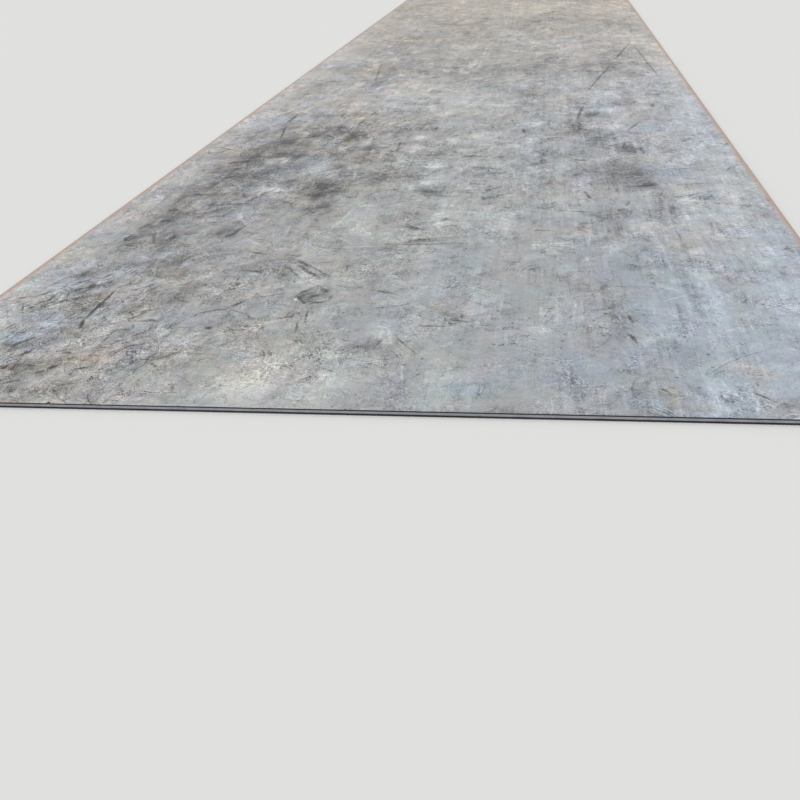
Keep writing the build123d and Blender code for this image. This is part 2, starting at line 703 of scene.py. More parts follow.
def new_material(name, metallic, specular):
    """A material with its Principled shader: the material, its tree and the shader."""
    material = bpy.data.materials.new(name)
    material.use_nodes = True
    tree = material.node_tree
    shader = tree.nodes["Principled BSDF"]
    shader.inputs["Metallic"].default_value = metallic
    shader.inputs["Specular IOR Level"].default_value = specular
    return material, tree, shader


def from_front_left(tree):
    """The place on the plate, measured from its left side and its front end."""
    coordinates = tree.nodes.new("ShaderNodeTexCoord").outputs["Object"]
    return vector_calc(tree, "ADD", coordinates, (HALF_WIDTH, HALF_LENGTH, 0.0))


def bump(tree, height, distance):
    node = tree.nodes.new("ShaderNodeBump")
    node.inputs["Strength"].default_value = 1.0
    node.inputs["Distance"].default_value = distance
    feed(tree, node.inputs["Height"], height)
    return node.outputs[0]


# Marks on the upper face, measured from the left side and the front end.
# Shades: across, along, half across, half along, turn in degrees, tone added
SHADES = [
    # The first metre
    (0.345, 0.03, 0.06, 0.04, 0, 0.13),
    (0.62, 0.03, 0.05, 0.03, 0, 0.12),
    (1.97, 0.04, 0.08, 0.06, 0, -0.10),
    (1.62, 0.06, 0.06, 0.04, 0, -0.12),
    (1.85, 0.075, 0.03, 0.04, 0, -0.34),
    (0.62, 0.08, 0.14, 0.14, 0, 0.06),
    (1.20, 0.09, 0.04, 0.04, 0, 0.14),
    (0.88, 0.10, 0.16, 0.20, 0, 0.24),
    (1.05, 0.10, 0.11, 0.14, 0, 0.13),
    (1.84, 0.10, 0.07, 0.12, 0, 0.09),
    (0.26, 0.12, 0.12, 0.16, 0, -0.10),
    (1.74, 0.12, 0.12, 0.16, 0, -0.08),
    (0.99, 0.15, 0.04, 0.04, 0, 0.13),
    (0.50, 0.16, 0.06, 0.05, 0, -0.26),
    (2.01, 0.22, 0.05, 0.05, 0, 0.11),
    (1.73, 0.23, 0.05, 0.05, 0, 0.11),
    (0.23, 0.235, 0.035, 0.035, 0, -0.12),
    (0.83, 0.24, 0.07, 0.08, 0, 0.10),
    (1.07, 0.27, 0.08, 0.04, 0, -0.07),
    (0.82, 0.28, 0.05, 0.05, 0, 0.12),
    (1.08, 0.28, 0.09, 0.08, 0, -0.06),
    (0.52, 0.30, 0.05, 0.05, 0, 0.12),
    (0.22, 0.325, 0.03, 0.04, 0, 0.20),
    (1.10, 0.36, 0.06, 0.06, 0, 0.08),
    (0.86, 0.37, 0.05, 0.04, 0, 0.11),
    (1.12, 0.39, 0.07, 0.08, 0, 0.08),
    (0.08, 0.40, 0.10, 0.30, 0, 0.06),
    (0.48, 0.40, 0.20, 0.15, 0, 0.06),
    (0.66, 0.40, 0.06, 0.07, 0, -0.05),
    (0.24, 0.42, 0.10, 0.09, 0, 0.08),
    (1.67, 0.42, 0.06, 0.18, 0, -0.08),
    (0.50, 0.44, 0.05, 0.05, 0, 0.12),
    (1.26, 0.44, 0.09, 0.06, 0, -0.10),
    (1.77, 0.46, 0.08, 0.15, 0, 0.10),
    (1.05, 0.50, 0.12, 0.07, 0, -0.06),
    (1.90, 0.50, 0.07, 0.34, 0, 0.06),
    (0.125, 0.52, 0.03, 0.04, 0, 0.12),
    (0.70, 0.54, 0.07, 0.06, 0, -0.07),
    (1.66, 0.55, 0.05, 0.30, 0, -0.04),
    (0.45, 0.57, 0.04, 0.04, 0, -0.06),
    (0.53, 0.57, 0.07, 0.05, 0, -0.07),
    (1.856, 0.59, 0.03, 0.08, 0, 0.13),
    (0.90, 0.60, 0.08, 0.08, 0, -0.18),
    (0.49, 0.61, 0.07, 0.08, 0, -0.12),
    (1.80, 0.62, 0.09, 0.12, 0, 0.06),
    (0.25, 0.64, 0.09, 0.10, 0, -0.13),
    (0.62, 0.66, 0.06, 0.08, 0, 0.08),
    (1.20, 0.66, 0.12, 0.12, 0, 0.06),
    (1.54, 0.66, 0.14, 0.12, 0, -0.04),
    (0.28, 0.67, 0.04, 0.06, 0, -0.12),
    (0.64, 0.68, 0.05, 0.05, 0, 0.10),
    (2.06, 0.68, 0.07, 0.12, 0, 0.08),
    (0.77, 0.74, 0.05, 0.07, 0, -0.08),
    (0.17, 0.76, 0.07, 0.06, 0, -0.11),
    (0.07, 0.78, 0.09, 0.20, 0, 0.07),
    (0.66, 0.80, 0.05, 0.05, 0, -0.17),
    (1.72, 0.80, 0.06, 0.06, 0, -0.12),
    (1.00, 0.82, 0.08, 0.10, 0, -0.08),
    (0.38, 0.86, 0.20, 0.08, 0, -0.12),
    (2.10, 0.92, 0.10, 0.16, 0, 0.10),
    (0.63, 0.93, 0.13, 0.05, 0, -0.09),
    (0.80, 0.93, 0.06, 0.12, 0, 0.11),
    (1.28, 0.97, 0.11, 0.07, 0, -0.08),
    # The second metre
    (0.54, 1.00, 0.13, 0.09, 0, 0.08),
    (0.31, 1.03, 0.07, 0.14, 0, -0.17),
    (1.12, 1.03, 0.12, 0.05, 0, -0.08),
    (0.26, 1.05, 0.12, 0.34, 0, -0.07),
    (0.19, 1.06, 0.05, 0.16, 0, -0.07),
    (0.49, 1.12, 0.09, 0.08, 0, -0.19),
    (1.10, 1.15, 0.10, 0.06, -30, -0.06),
    (1.36, 1.15, 0.07, 0.12, 0, 0.11),
    (1.78, 1.17, 0.06, 0.14, 0, 0.18),
    (1.07, 1.18, 0.08, 0.10, 0, 0.08),
    (0.87, 1.22, 0.10, 0.18, 0, 0.09),
    (1.70, 1.22, 0.09, 0.30, 0, -0.10),
    (2.00, 1.25, 0.17, 0.38, 0, 0.08),
    (0.23, 1.28, 0.08, 0.14, 0, -0.21),
    (1.25, 1.28, 0.22, 0.16, 0, 0.14),
    (0.50, 1.30, 0.16, 0.12, 0, -0.04),
    (0.47, 1.32, 0.06, 0.11, 0, 0.08),
    (1.87, 1.35, 0.06, 0.28, 0, -0.06),
    (0.74, 1.38, 0.09, 0.10, 0, -0.16),
    (1.53, 1.43, 0.10, 0.10, 0, 0.18),
    (1.31, 1.46, 0.07, 0.06, 0, -0.16),
    (0.90, 1.50, 0.12, 0.08, 0, -0.09),
    (1.58, 1.53, 0.06, 0.07, 0, -0.07),
    (1.09, 1.54, 0.08, 0.10, 0, -0.22),
    (0.155, 1.555, 0.04, 0.06, 0, 0.16),
    (1.85, 1.58, 0.07, 0.12, 0, -0.16),
    (0.50, 1.60, 0.12, 0.09, 0, 0.18),
    (0.69, 1.60, 0.15, 0.17, 0, -0.26),
    (0.22, 1.62, 0.10, 0.14, 0, -0.12),
    (0.68, 1.62, 0.26, 0.85, 0, -0.09),
    (0.75, 1.62, 0.17, 0.32, 0, -0.06),
    (0.93, 1.62, 0.12, 0.24, 0, -0.05),
    (1.09, 1.69, 0.07, 0.08, 0, 0.24),
    (1.75, 1.70, 0.16, 0.30, 0, -0.07),
    (2.07, 1.70, 0.14, 0.09, 0, 0.10),
    (0.54, 1.72, 0.08, 0.07, 0, -0.12),
    (1.79, 1.72, 0.15, 0.26, 0, -0.25),
    (0.28, 1.75, 0.30, 1.05, 0, -0.12),
    (1.60, 1.75, 0.10, 0.12, 0, -0.10),
    (0.94, 1.76, 0.15, 0.11, 0, -0.25),
    (0.72, 1.78, 0.22, 0.20, 0, -0.06),
    (0.46, 1.85, 0.14, 0.16, 0, -0.12),
    (0.62, 1.87, 0.09, 0.10, 0, 0.16),
    (0.29, 1.90, 0.13, 0.30, 0, -0.18),
    (1.07, 1.91, 0.07, 0.09, 0, 0.32),
    (1.26, 1.93, 0.14, 0.06, 0, 0.08),
    (2.00, 1.95, 0.14, 0.25, 0, 0.05),
    # The third metre
    (0.80, 2.03, 0.16, 0.14, 0, -0.10),
    (1.03, 2.03, 0.12, 0.06, 0, -0.08),
    (1.50, 2.04, 0.12, 0.09, 0, -0.12),
    (1.48, 2.06, 0.10, 0.14, 0, -0.06),
    (0.28, 2.08, 0.10, 0.14, 0, -0.18),
    (1.81, 2.09, 0.09, 0.12, 0, -0.32),
    (0.40, 2.13, 0.16, 0.12, 0, -0.14),
    (1.74, 2.14, 0.12, 0.22, 20, -0.08),
    (0.96, 2.18, 0.06, 0.08, 0, 0.12),
    # The next shade is a painted glint: a bright spot of reflected light.
    (0.64, 2.20, 0.04, 0.08, 0, 0.24),
    (0.77, 2.20, 0.08, 0.07, 0, -0.28),
    (0.10, 2.22, 0.08, 0.24, 0, -0.06),
    (0.45, 2.25, 0.30, 0.50, 0, -0.09),
    (1.70, 2.25, 0.08, 0.16, 0, -0.27),
    (0.33, 2.26, 0.20, 0.30, 0, -0.08),
    (0.89, 2.26, 0.06, 0.07, 0, -0.16),
    (1.22, 2.28, 0.18, 0.26, 0, 0.13),
    (0.34, 2.34, 0.10, 0.13, 0, -0.22),
    (0.95, 2.37, 0.06, 0.07, 0, 0.22),
    (0.67, 2.41, 0.10, 0.15, 0, -0.34),
    (0.72, 2.44, 0.14, 0.20, 0, -0.08),
    (0.18, 2.45, 0.06, 0.09, 0, -0.07),
    (1.41, 2.45, 0.06, 0.10, 0, -0.11),
    (2.12, 2.45, 0.09, 0.28, 0, 0.12),
    (1.78, 2.46, 0.07, 0.24, 0, 0.18),
    (1.98, 2.48, 0.13, 0.40, 0, 0.13),
    (1.60, 2.50, 0.07, 0.22, 10, -0.12),
    (1.62, 2.52, 0.07, 0.24, 0, -0.32),
    (0.53, 2.53, 0.13, 0.20, 0, -0.25),
    (0.88, 2.54, 0.14, 0.12, 0, -0.12),
    (1.45, 2.57, 0.07, 0.09, 0, 0.22),
    (1.69, 2.74, 0.05, 0.12, -10, -0.34),
    (0.28, 2.76, 0.06, 0.28, 0, -0.16),
    (2.13, 2.80, 0.10, 0.40, 0, 0.10),
    (1.01, 2.84, 0.07, 0.18, 0, 0.26),
    (0.05, 2.85, 0.11, 0.38, 0, 0.08),
    (0.50, 2.90, 0.22, 0.06, 0, -0.20),
    (0.52, 2.90, 0.26, 0.07, 0, -0.07),
    (1.66, 2.90, 0.09, 0.16, 0, -0.10),
    (0.88, 2.97, 0.22, 0.08, 0, 0.09),
    (1.72, 2.97, 0.12, 0.10, 0, -0.12),
    # Past the third
    (1.35, 3.70, 0.50, 0.42, 0, 0.12),
    (0.70, 4.40, 0.25, 0.50, 0, -0.04),
    (1.95, 4.90, 0.34, 1.20, 0, 0.09),
]
# Blots: across, along, half across, half along, turn in degrees, softness, strength
DARK_BLOTS = [
    # The first metre
    (0.437, 0.100, 0.008, 0.007, 0, 0.7, 0.9),
    (1.690, 0.110, 0.060, 0.060, 0, 1.0, 0.3),
    (0.310, 0.115, 0.014, 0.030, 10, 0.9, 0.7),
    (0.290, 0.170, 0.080, 0.130, -20, 1.0, 0.5),
    (1.140, 0.270, 0.018, 0.050, 0, 0.9, 0.5),
    (0.225, 0.272, 0.025, 0.018, 30, 0.9, 0.8),
    (1.075, 0.280, 0.050, 0.045, 0, 1.0, 0.35),
    (1.397, 0.312, 0.006, 0.007, 0, 0.5, 1.3),
    (1.760, 0.330, 0.050, 0.020, 0, 1.0, 0.35),
    (1.690, 0.345, 0.014, 0.035, -10, 1.0, 0.4),
    (1.632, 0.370, 0.007, 0.007, 0, 0.5, 1.3),
    (0.590, 0.375, 0.010, 0.010, 0, 0.8, 0.5),
    (0.342, 0.388, 0.011, 0.008, 0, 0.6, 1.3),
    (0.680, 0.395, 0.016, 0.009, -5, 0.7, 1.2),
    (1.680, 0.420, 0.025, 0.080, 0, 1.0, 0.3),
    (1.285, 0.425, 0.022, 0.014, 20, 0.8, 1.1),
    (0.170, 0.465, 0.014, 0.009, 0, 0.8, 0.8),
    (1.035, 0.515, 0.008, 0.014, 20, 0.7, 0.7),
    (1.085, 0.520, 0.010, 0.016, 20, 0.7, 0.9),
    (0.700, 0.540, 0.045, 0.022, 35, 1.0, 0.5),
    (1.402, 0.553, 0.005, 0.009, 0, 0.6, 1.0),
    (0.905, 0.555, 0.036, 0.014, 0, 0.8, 0.9),
    (0.430, 0.560, 0.050, 0.040, 0, 1.0, 0.4),
    (0.715, 0.575, 0.018, 0.016, 0, 0.9, 0.8),
    (1.115, 0.585, 0.008, 0.012, 0, 0.8, 0.7),
    (0.530, 0.590, 0.035, 0.090, 0, 1.0, 0.35),
    (1.145, 0.590, 0.006, 0.006, 0, 0.8, 0.6),
    (0.865, 0.605, 0.016, 0.034, 0, 0.8, 0.9),
    (0.925, 0.625, 0.010, 0.030, -20, 0.9, 0.6),
    (0.775, 0.745, 0.022, 0.045, 0, 0.9, 0.7),
    (0.168, 0.755, 0.014, 0.026, 10, 0.7, 0.9),
    (1.725, 0.790, 0.035, 0.025, 0, 1.0, 0.5),
    (0.130, 0.805, 0.018, 0.014, -20, 0.8, 0.9),
    (1.735, 0.810, 0.018, 0.014, 0, 0.8, 0.9),
    (1.025, 0.820, 0.025, 0.040, 0, 1.0, 0.5),
    (0.430, 0.865, 0.045, 0.025, 0, 1.0, 0.4),
    (1.300, 0.960, 0.050, 0.040, 0, 1.0, 0.5),
    (1.960, 0.960, 0.030, 0.080, 0, 1.0, 0.4),
    (1.305, 0.995, 0.012, 0.012, 0, 0.8, 0.9),
    # The second metre
    (0.330, 1.000, 0.040, 0.050, 0, 1.0, 0.5),
    (0.880, 1.030, 0.016, 0.028, 15, 0.8, 0.8),
    (0.905, 1.030, 0.008, 0.012, 0, 0.8, 0.8),
    (1.020, 1.070, 0.025, 0.035, 0, 1.0, 0.4),
    (0.320, 1.080, 0.025, 0.075, 8, 0.9, 0.6),
    (0.505, 1.095, 0.011, 0.028, -10, 0.7, 1.1),
    (0.465, 1.110, 0.035, 0.035, 0, 1.0, 0.5),
    (1.120, 1.130, 0.018, 0.014, 0, 0.8, 0.7),
    (0.525, 1.165, 0.008, 0.014, 0, 0.8, 0.7),
    (1.607, 1.165, 0.010, 0.020, 0, 0.8, 0.7),
    (0.215, 1.180, 0.030, 0.080, 0, 1.0, 0.4),
    (1.875, 1.180, 0.012, 0.050, 0, 0.9, 0.5),
    (0.555, 1.205, 0.012, 0.010, 0, 0.8, 0.6),
    (0.500, 1.235, 0.012, 0.014, 0, 0.8, 0.9),
    (0.235, 1.240, 0.050, 0.030, 0, 1.0, 0.6),
    (1.650, 1.240, 0.080, 0.060, 0, 1.0, 0.5),
    (1.540, 1.305, 0.015, 0.010, 0, 0.9, 0.7),
    (0.220, 1.360, 0.032, 0.035, 0, 0.9, 0.9),
    (1.855, 1.360, 0.030, 0.160, 0, 1.0, 0.5),
    (1.700, 1.370, 0.020, 0.025, 0, 0.9, 0.7),
    (1.435, 1.380, 0.015, 0.050, 0, 1.0, 0.4),
    (0.430, 1.425, 0.022, 0.020, 20, 0.9, 0.6),
    (0.340, 1.435, 0.022, 0.018, 0, 0.9, 0.6),
    (1.310, 1.470, 0.035, 0.022, 0, 1.0, 0.5),
    (0.535, 1.480, 0.040, 0.050, 0, 1.0, 0.4),
    (0.690, 1.500, 0.035, 0.080, -5, 0.9, 0.9),
    (1.600, 1.520, 0.018, 0.040, 0, 0.9, 0.7),
    (1.110, 1.540, 0.035, 0.040, 0, 0.9, 0.7),
    (0.290, 1.560, 0.020, 0.040, -15, 0.9, 0.6),
    (1.840, 1.590, 0.040, 0.040, 0, 0.9, 0.7),
    (0.700, 1.650, 0.060, 0.050, 0, 1.0, 0.7),
    (0.180, 1.700, 0.030, 0.050, 0, 1.0, 0.5),
    (1.820, 1.700, 0.040, 0.100, 0, 1.0, 0.4),
    (0.550, 1.720, 0.035, 0.030, -20, 0.9, 0.8),
    (1.650, 1.760, 0.050, 0.060, 0, 1.0, 0.5),
    (0.270, 1.800, 0.030, 0.060, 0, 1.0, 0.5),
    (1.740, 1.850, 0.060, 0.120, 0, 1.0, 0.4),
    (1.130, 1.880, 0.015, 0.050, 0, 0.9, 0.7),
    (1.200, 1.890, 0.030, 0.025, 0, 1.0, 0.5),
    (0.280, 1.950, 0.030, 0.060, 0, 0.9, 0.6),
    # The third metre
    (1.860, 2.030, 0.040, 0.100, 0, 1.0, 0.6),
    (0.930, 2.080, 0.008, 0.030, 0, 0.9, 0.8),
    (1.490, 2.080, 0.015, 0.070, 0, 1.0, 0.6),
    (0.490, 2.100, 0.030, 0.050, 0, 0.9, 0.6),
    (0.290, 2.110, 0.035, 0.060, 0, 1.0, 0.7),
    (0.620, 2.115, 0.012, 0.018, 0, 0.8, 1.0),
    (0.400, 2.120, 0.100, 0.070, 0, 1.0, 0.5),
    (1.790, 2.120, 0.020, 0.035, 0, 0.8, 1.0),
    (1.690, 2.250, 0.020, 0.080, 0, 1.0, 0.5),
    (0.380, 2.320, 0.025, 0.090, 0, 1.0, 0.7),
    (1.550, 2.360, 0.030, 0.060, 0, 1.0, 0.5),
    (0.520, 2.400, 0.015, 0.050, 20, 0.9, 0.7),
    (0.640, 2.430, 0.035, 0.120, 0, 1.0, 0.6),
    (0.150, 2.480, 0.025, 0.060, 0, 1.0, 0.5),
    (0.470, 2.480, 0.045, 0.090, 0, 0.9, 0.9),
    (1.640, 2.490, 0.025, 0.060, 0, 0.9, 0.9),
    (0.560, 2.600, 0.030, 0.110, 0, 1.0, 0.6),
    (1.710, 2.760, 0.030, 0.060, -8, 0.8, 0.5),
    # Past the third
    (1.780, 3.700, 0.120, 0.060, 0, 1.0, 0.7),
]
PALE_BLOTS = [
    # The first metre
    (1.907, 0.055, 0.010, 0.055, 0, 0.9, 0.9),
    (1.000, 0.060, 0.060, 0.050, 0, 1.0, 0.8),
    (1.840, 0.080, 0.030, 0.070, 0, 1.0, 0.5),
    (1.840, 0.090, 0.035, 0.110, 5, 1.0, 1.0),
    (0.860, 0.140, 0.100, 0.130, 0, 0.8, 1.0),
    (1.035, 0.140, 0.025, 0.030, 0, 0.9, 0.9),
    (0.900, 0.210, 0.045, 0.014, 0, 0.9, 1.3),
    (0.800, 0.225, 0.012, 0.020, 0, 0.9, 0.8),
    (1.010, 0.270, 0.018, 0.045, 0, 0.9, 0.8),
    (1.120, 0.370, 0.020, 0.045, -10, 0.8, 0.9),
    (0.800, 0.400, 0.030, 0.080, 0, 1.0, 0.8),
    (2.010, 0.650, 0.040, 0.030, 0, 1.0, 0.7),
    # The second metre
    (0.640, 1.000, 0.060, 0.100, 0, 1.0, 0.5),
    (0.840, 1.050, 0.030, 0.100, 0, 1.0, 0.5),
    (0.650, 1.100, 0.025, 0.080, 0, 1.0, 0.5),
    (1.790, 1.130, 0.020, 0.025, 0, 1.0, 0.6),
    (0.900, 1.240, 0.090, 0.200, 0, 0.6, 0.5),
    (0.870, 1.250, 0.045, 0.100, 8, 1.0, 0.6),
    (0.615, 1.280, 0.085, 0.120, 0, 0.8, 0.6),
    (0.905, 1.390, 0.035, 0.035, 0, 0.7, 0.9),
    (1.960, 1.480, 0.050, 0.040, 0, 1.0, 0.5),
    (1.070, 1.670, 0.042, 0.055, 0, 0.8, 0.9),
    (1.560, 1.850, 0.080, 0.014, 0, 0.9, 0.5),
    (1.060, 1.890, 0.042, 0.060, 0, 0.7, 1.1),
    (0.620, 1.930, 0.075, 0.130, 0, 0.8, 0.8),
    (1.310, 1.930, 0.120, 0.020, 0, 0.9, 0.5),
    # The third metre
    (0.960, 2.180, 0.035, 0.100, 0, 0.9, 0.7),
    # The next blot is a painted glint: a bright spot of reflected light.
    (0.640, 2.220, 0.018, 0.045, 0, 0.8, 1.1),
    (2.130, 2.330, 0.040, 0.050, 0, 1.0, 0.5),
    (0.950, 2.360, 0.035, 0.045, 0, 0.8, 1.0),
    (1.740, 2.860, 0.035, 0.030, 0, 1.0, 0.5),
]
RUSTY_BLOTS = [
    # The first metre
    (1.810, 0.040, 0.030, 0.030, 0, 1.0, 0.5),
    (1.752, 0.090, 0.011, 0.080, 0, 1.0, 0.9),
    (0.850, 0.140, 0.100, 0.110, 0, 1.0, 0.30),
    (0.450, 0.215, 0.090, 0.050, 20, 1.0, 0.7),
    (1.925, 0.215, 0.040, 0.040, 0, 1.0, 0.4),
    (1.225, 0.535, 0.011, 0.032, 0, 0.8, 0.8),
    (2.010, 0.680, 0.020, 0.020, 0, 0.9, 0.7),
    (1.774, 0.760, 0.050, 0.060, 0, 1.0, 0.35),
    (1.764, 0.850, 0.060, 0.080, 0, 1.0, 0.35),
    (2.080, 0.860, 0.060, 0.080, 0, 1.0, 0.35),
    (0.795, 0.940, 0.020, 0.020, 0, 1.0, 0.4),
    # The second metre
    (1.980, 1.030, 0.320, 0.420, 0, 1.0, 0.20),
    (0.775, 1.760, 0.014, 0.060, -8, 0.8, 0.9),
    (0.775, 1.790, 0.012, 0.100, -8, 0.8, 0.7),
    # The third metre
    (0.640, 2.420, 0.050, 0.180, 0, 1.0, 1.3),
    (1.005, 2.450, 0.009, 0.050, 0, 0.9, 0.7),
    (0.460, 2.500, 0.340, 0.550, 0, 1.0, 0.12),
    (0.700, 2.550, 0.110, 0.260, 0, 1.0, 0.55),
    (0.750, 2.700, 0.030, 0.120, 0, 1.0, 0.4),
    (0.620, 2.790, 0.035, 0.060, 0, 0.9, 1.1),
]
BLUISH_BLOTS = [
    # The first metre
    (0.690, 0.050, 0.050, 0.040, 0, 1.0, 0.4),
    (1.682, 0.063, 0.070, 0.060, 0, 1.0, 0.5),
    (0.960, 0.090, 0.050, 0.050, 0, 1.0, 0.4),
    (1.330, 0.100, 0.080, 0.060, 0, 1.0, 0.5),
    (1.850, 0.100, 0.100, 0.140, 0, 1.0, 0.9),
    (1.985, 0.110, 0.100, 0.100, 0, 1.0, 0.7),
    (1.560, 0.160, 0.110, 0.160, 0, 1.0, 0.6),
    (1.900, 0.190, 0.050, 0.040, 0, 1.0, 0.3),
    (0.240, 0.205, 0.050, 0.050, 0, 1.0, 0.7),
    (0.270, 0.270, 0.080, 0.060, 0, 1.0, 0.6),
    (2.030, 0.280, 0.140, 0.240, 0, 1.0, 0.6),
    (0.190, 0.330, 0.060, 0.090, 45, 1.0, 1.0),
    (0.275, 0.350, 0.060, 0.060, 0, 1.0, 0.7),
    (0.860, 0.395, 0.080, 0.060, 0, 1.0, 0.45),
    (0.304, 0.423, 0.050, 0.050, 0, 1.0, 0.4),
    (0.240, 0.430, 0.070, 0.090, 0, 1.0, 0.8),
    (1.775, 0.460, 0.070, 0.140, 0, 0.8, 0.9),
    (1.850, 0.500, 0.150, 0.280, 0, 1.0, 0.6),
    (0.140, 0.630, 0.030, 0.050, 0, 1.0, 0.7),
    (2.070, 0.680, 0.070, 0.110, 0, 1.0, 0.6),
    (0.150, 0.700, 0.060, 0.060, 45, 1.0, 0.7),
    (0.520, 0.740, 0.090, 0.110, 0, 1.0, 0.5),
    # The second metre
    (0.250, 1.250, 0.120, 0.150, 0, 1.0, 0.5),
    (0.143, 1.445, 0.060, 0.110, 0, 1.0, 0.8),
    (2.000, 1.450, 0.100, 0.080, 0, 1.0, 0.6),
    (0.475, 1.500, 0.060, 0.060, 0, 1.0, 0.6),
    # The third metre
    (1.710, 2.760, 0.030, 0.060, -8, 0.8, 0.7),
]
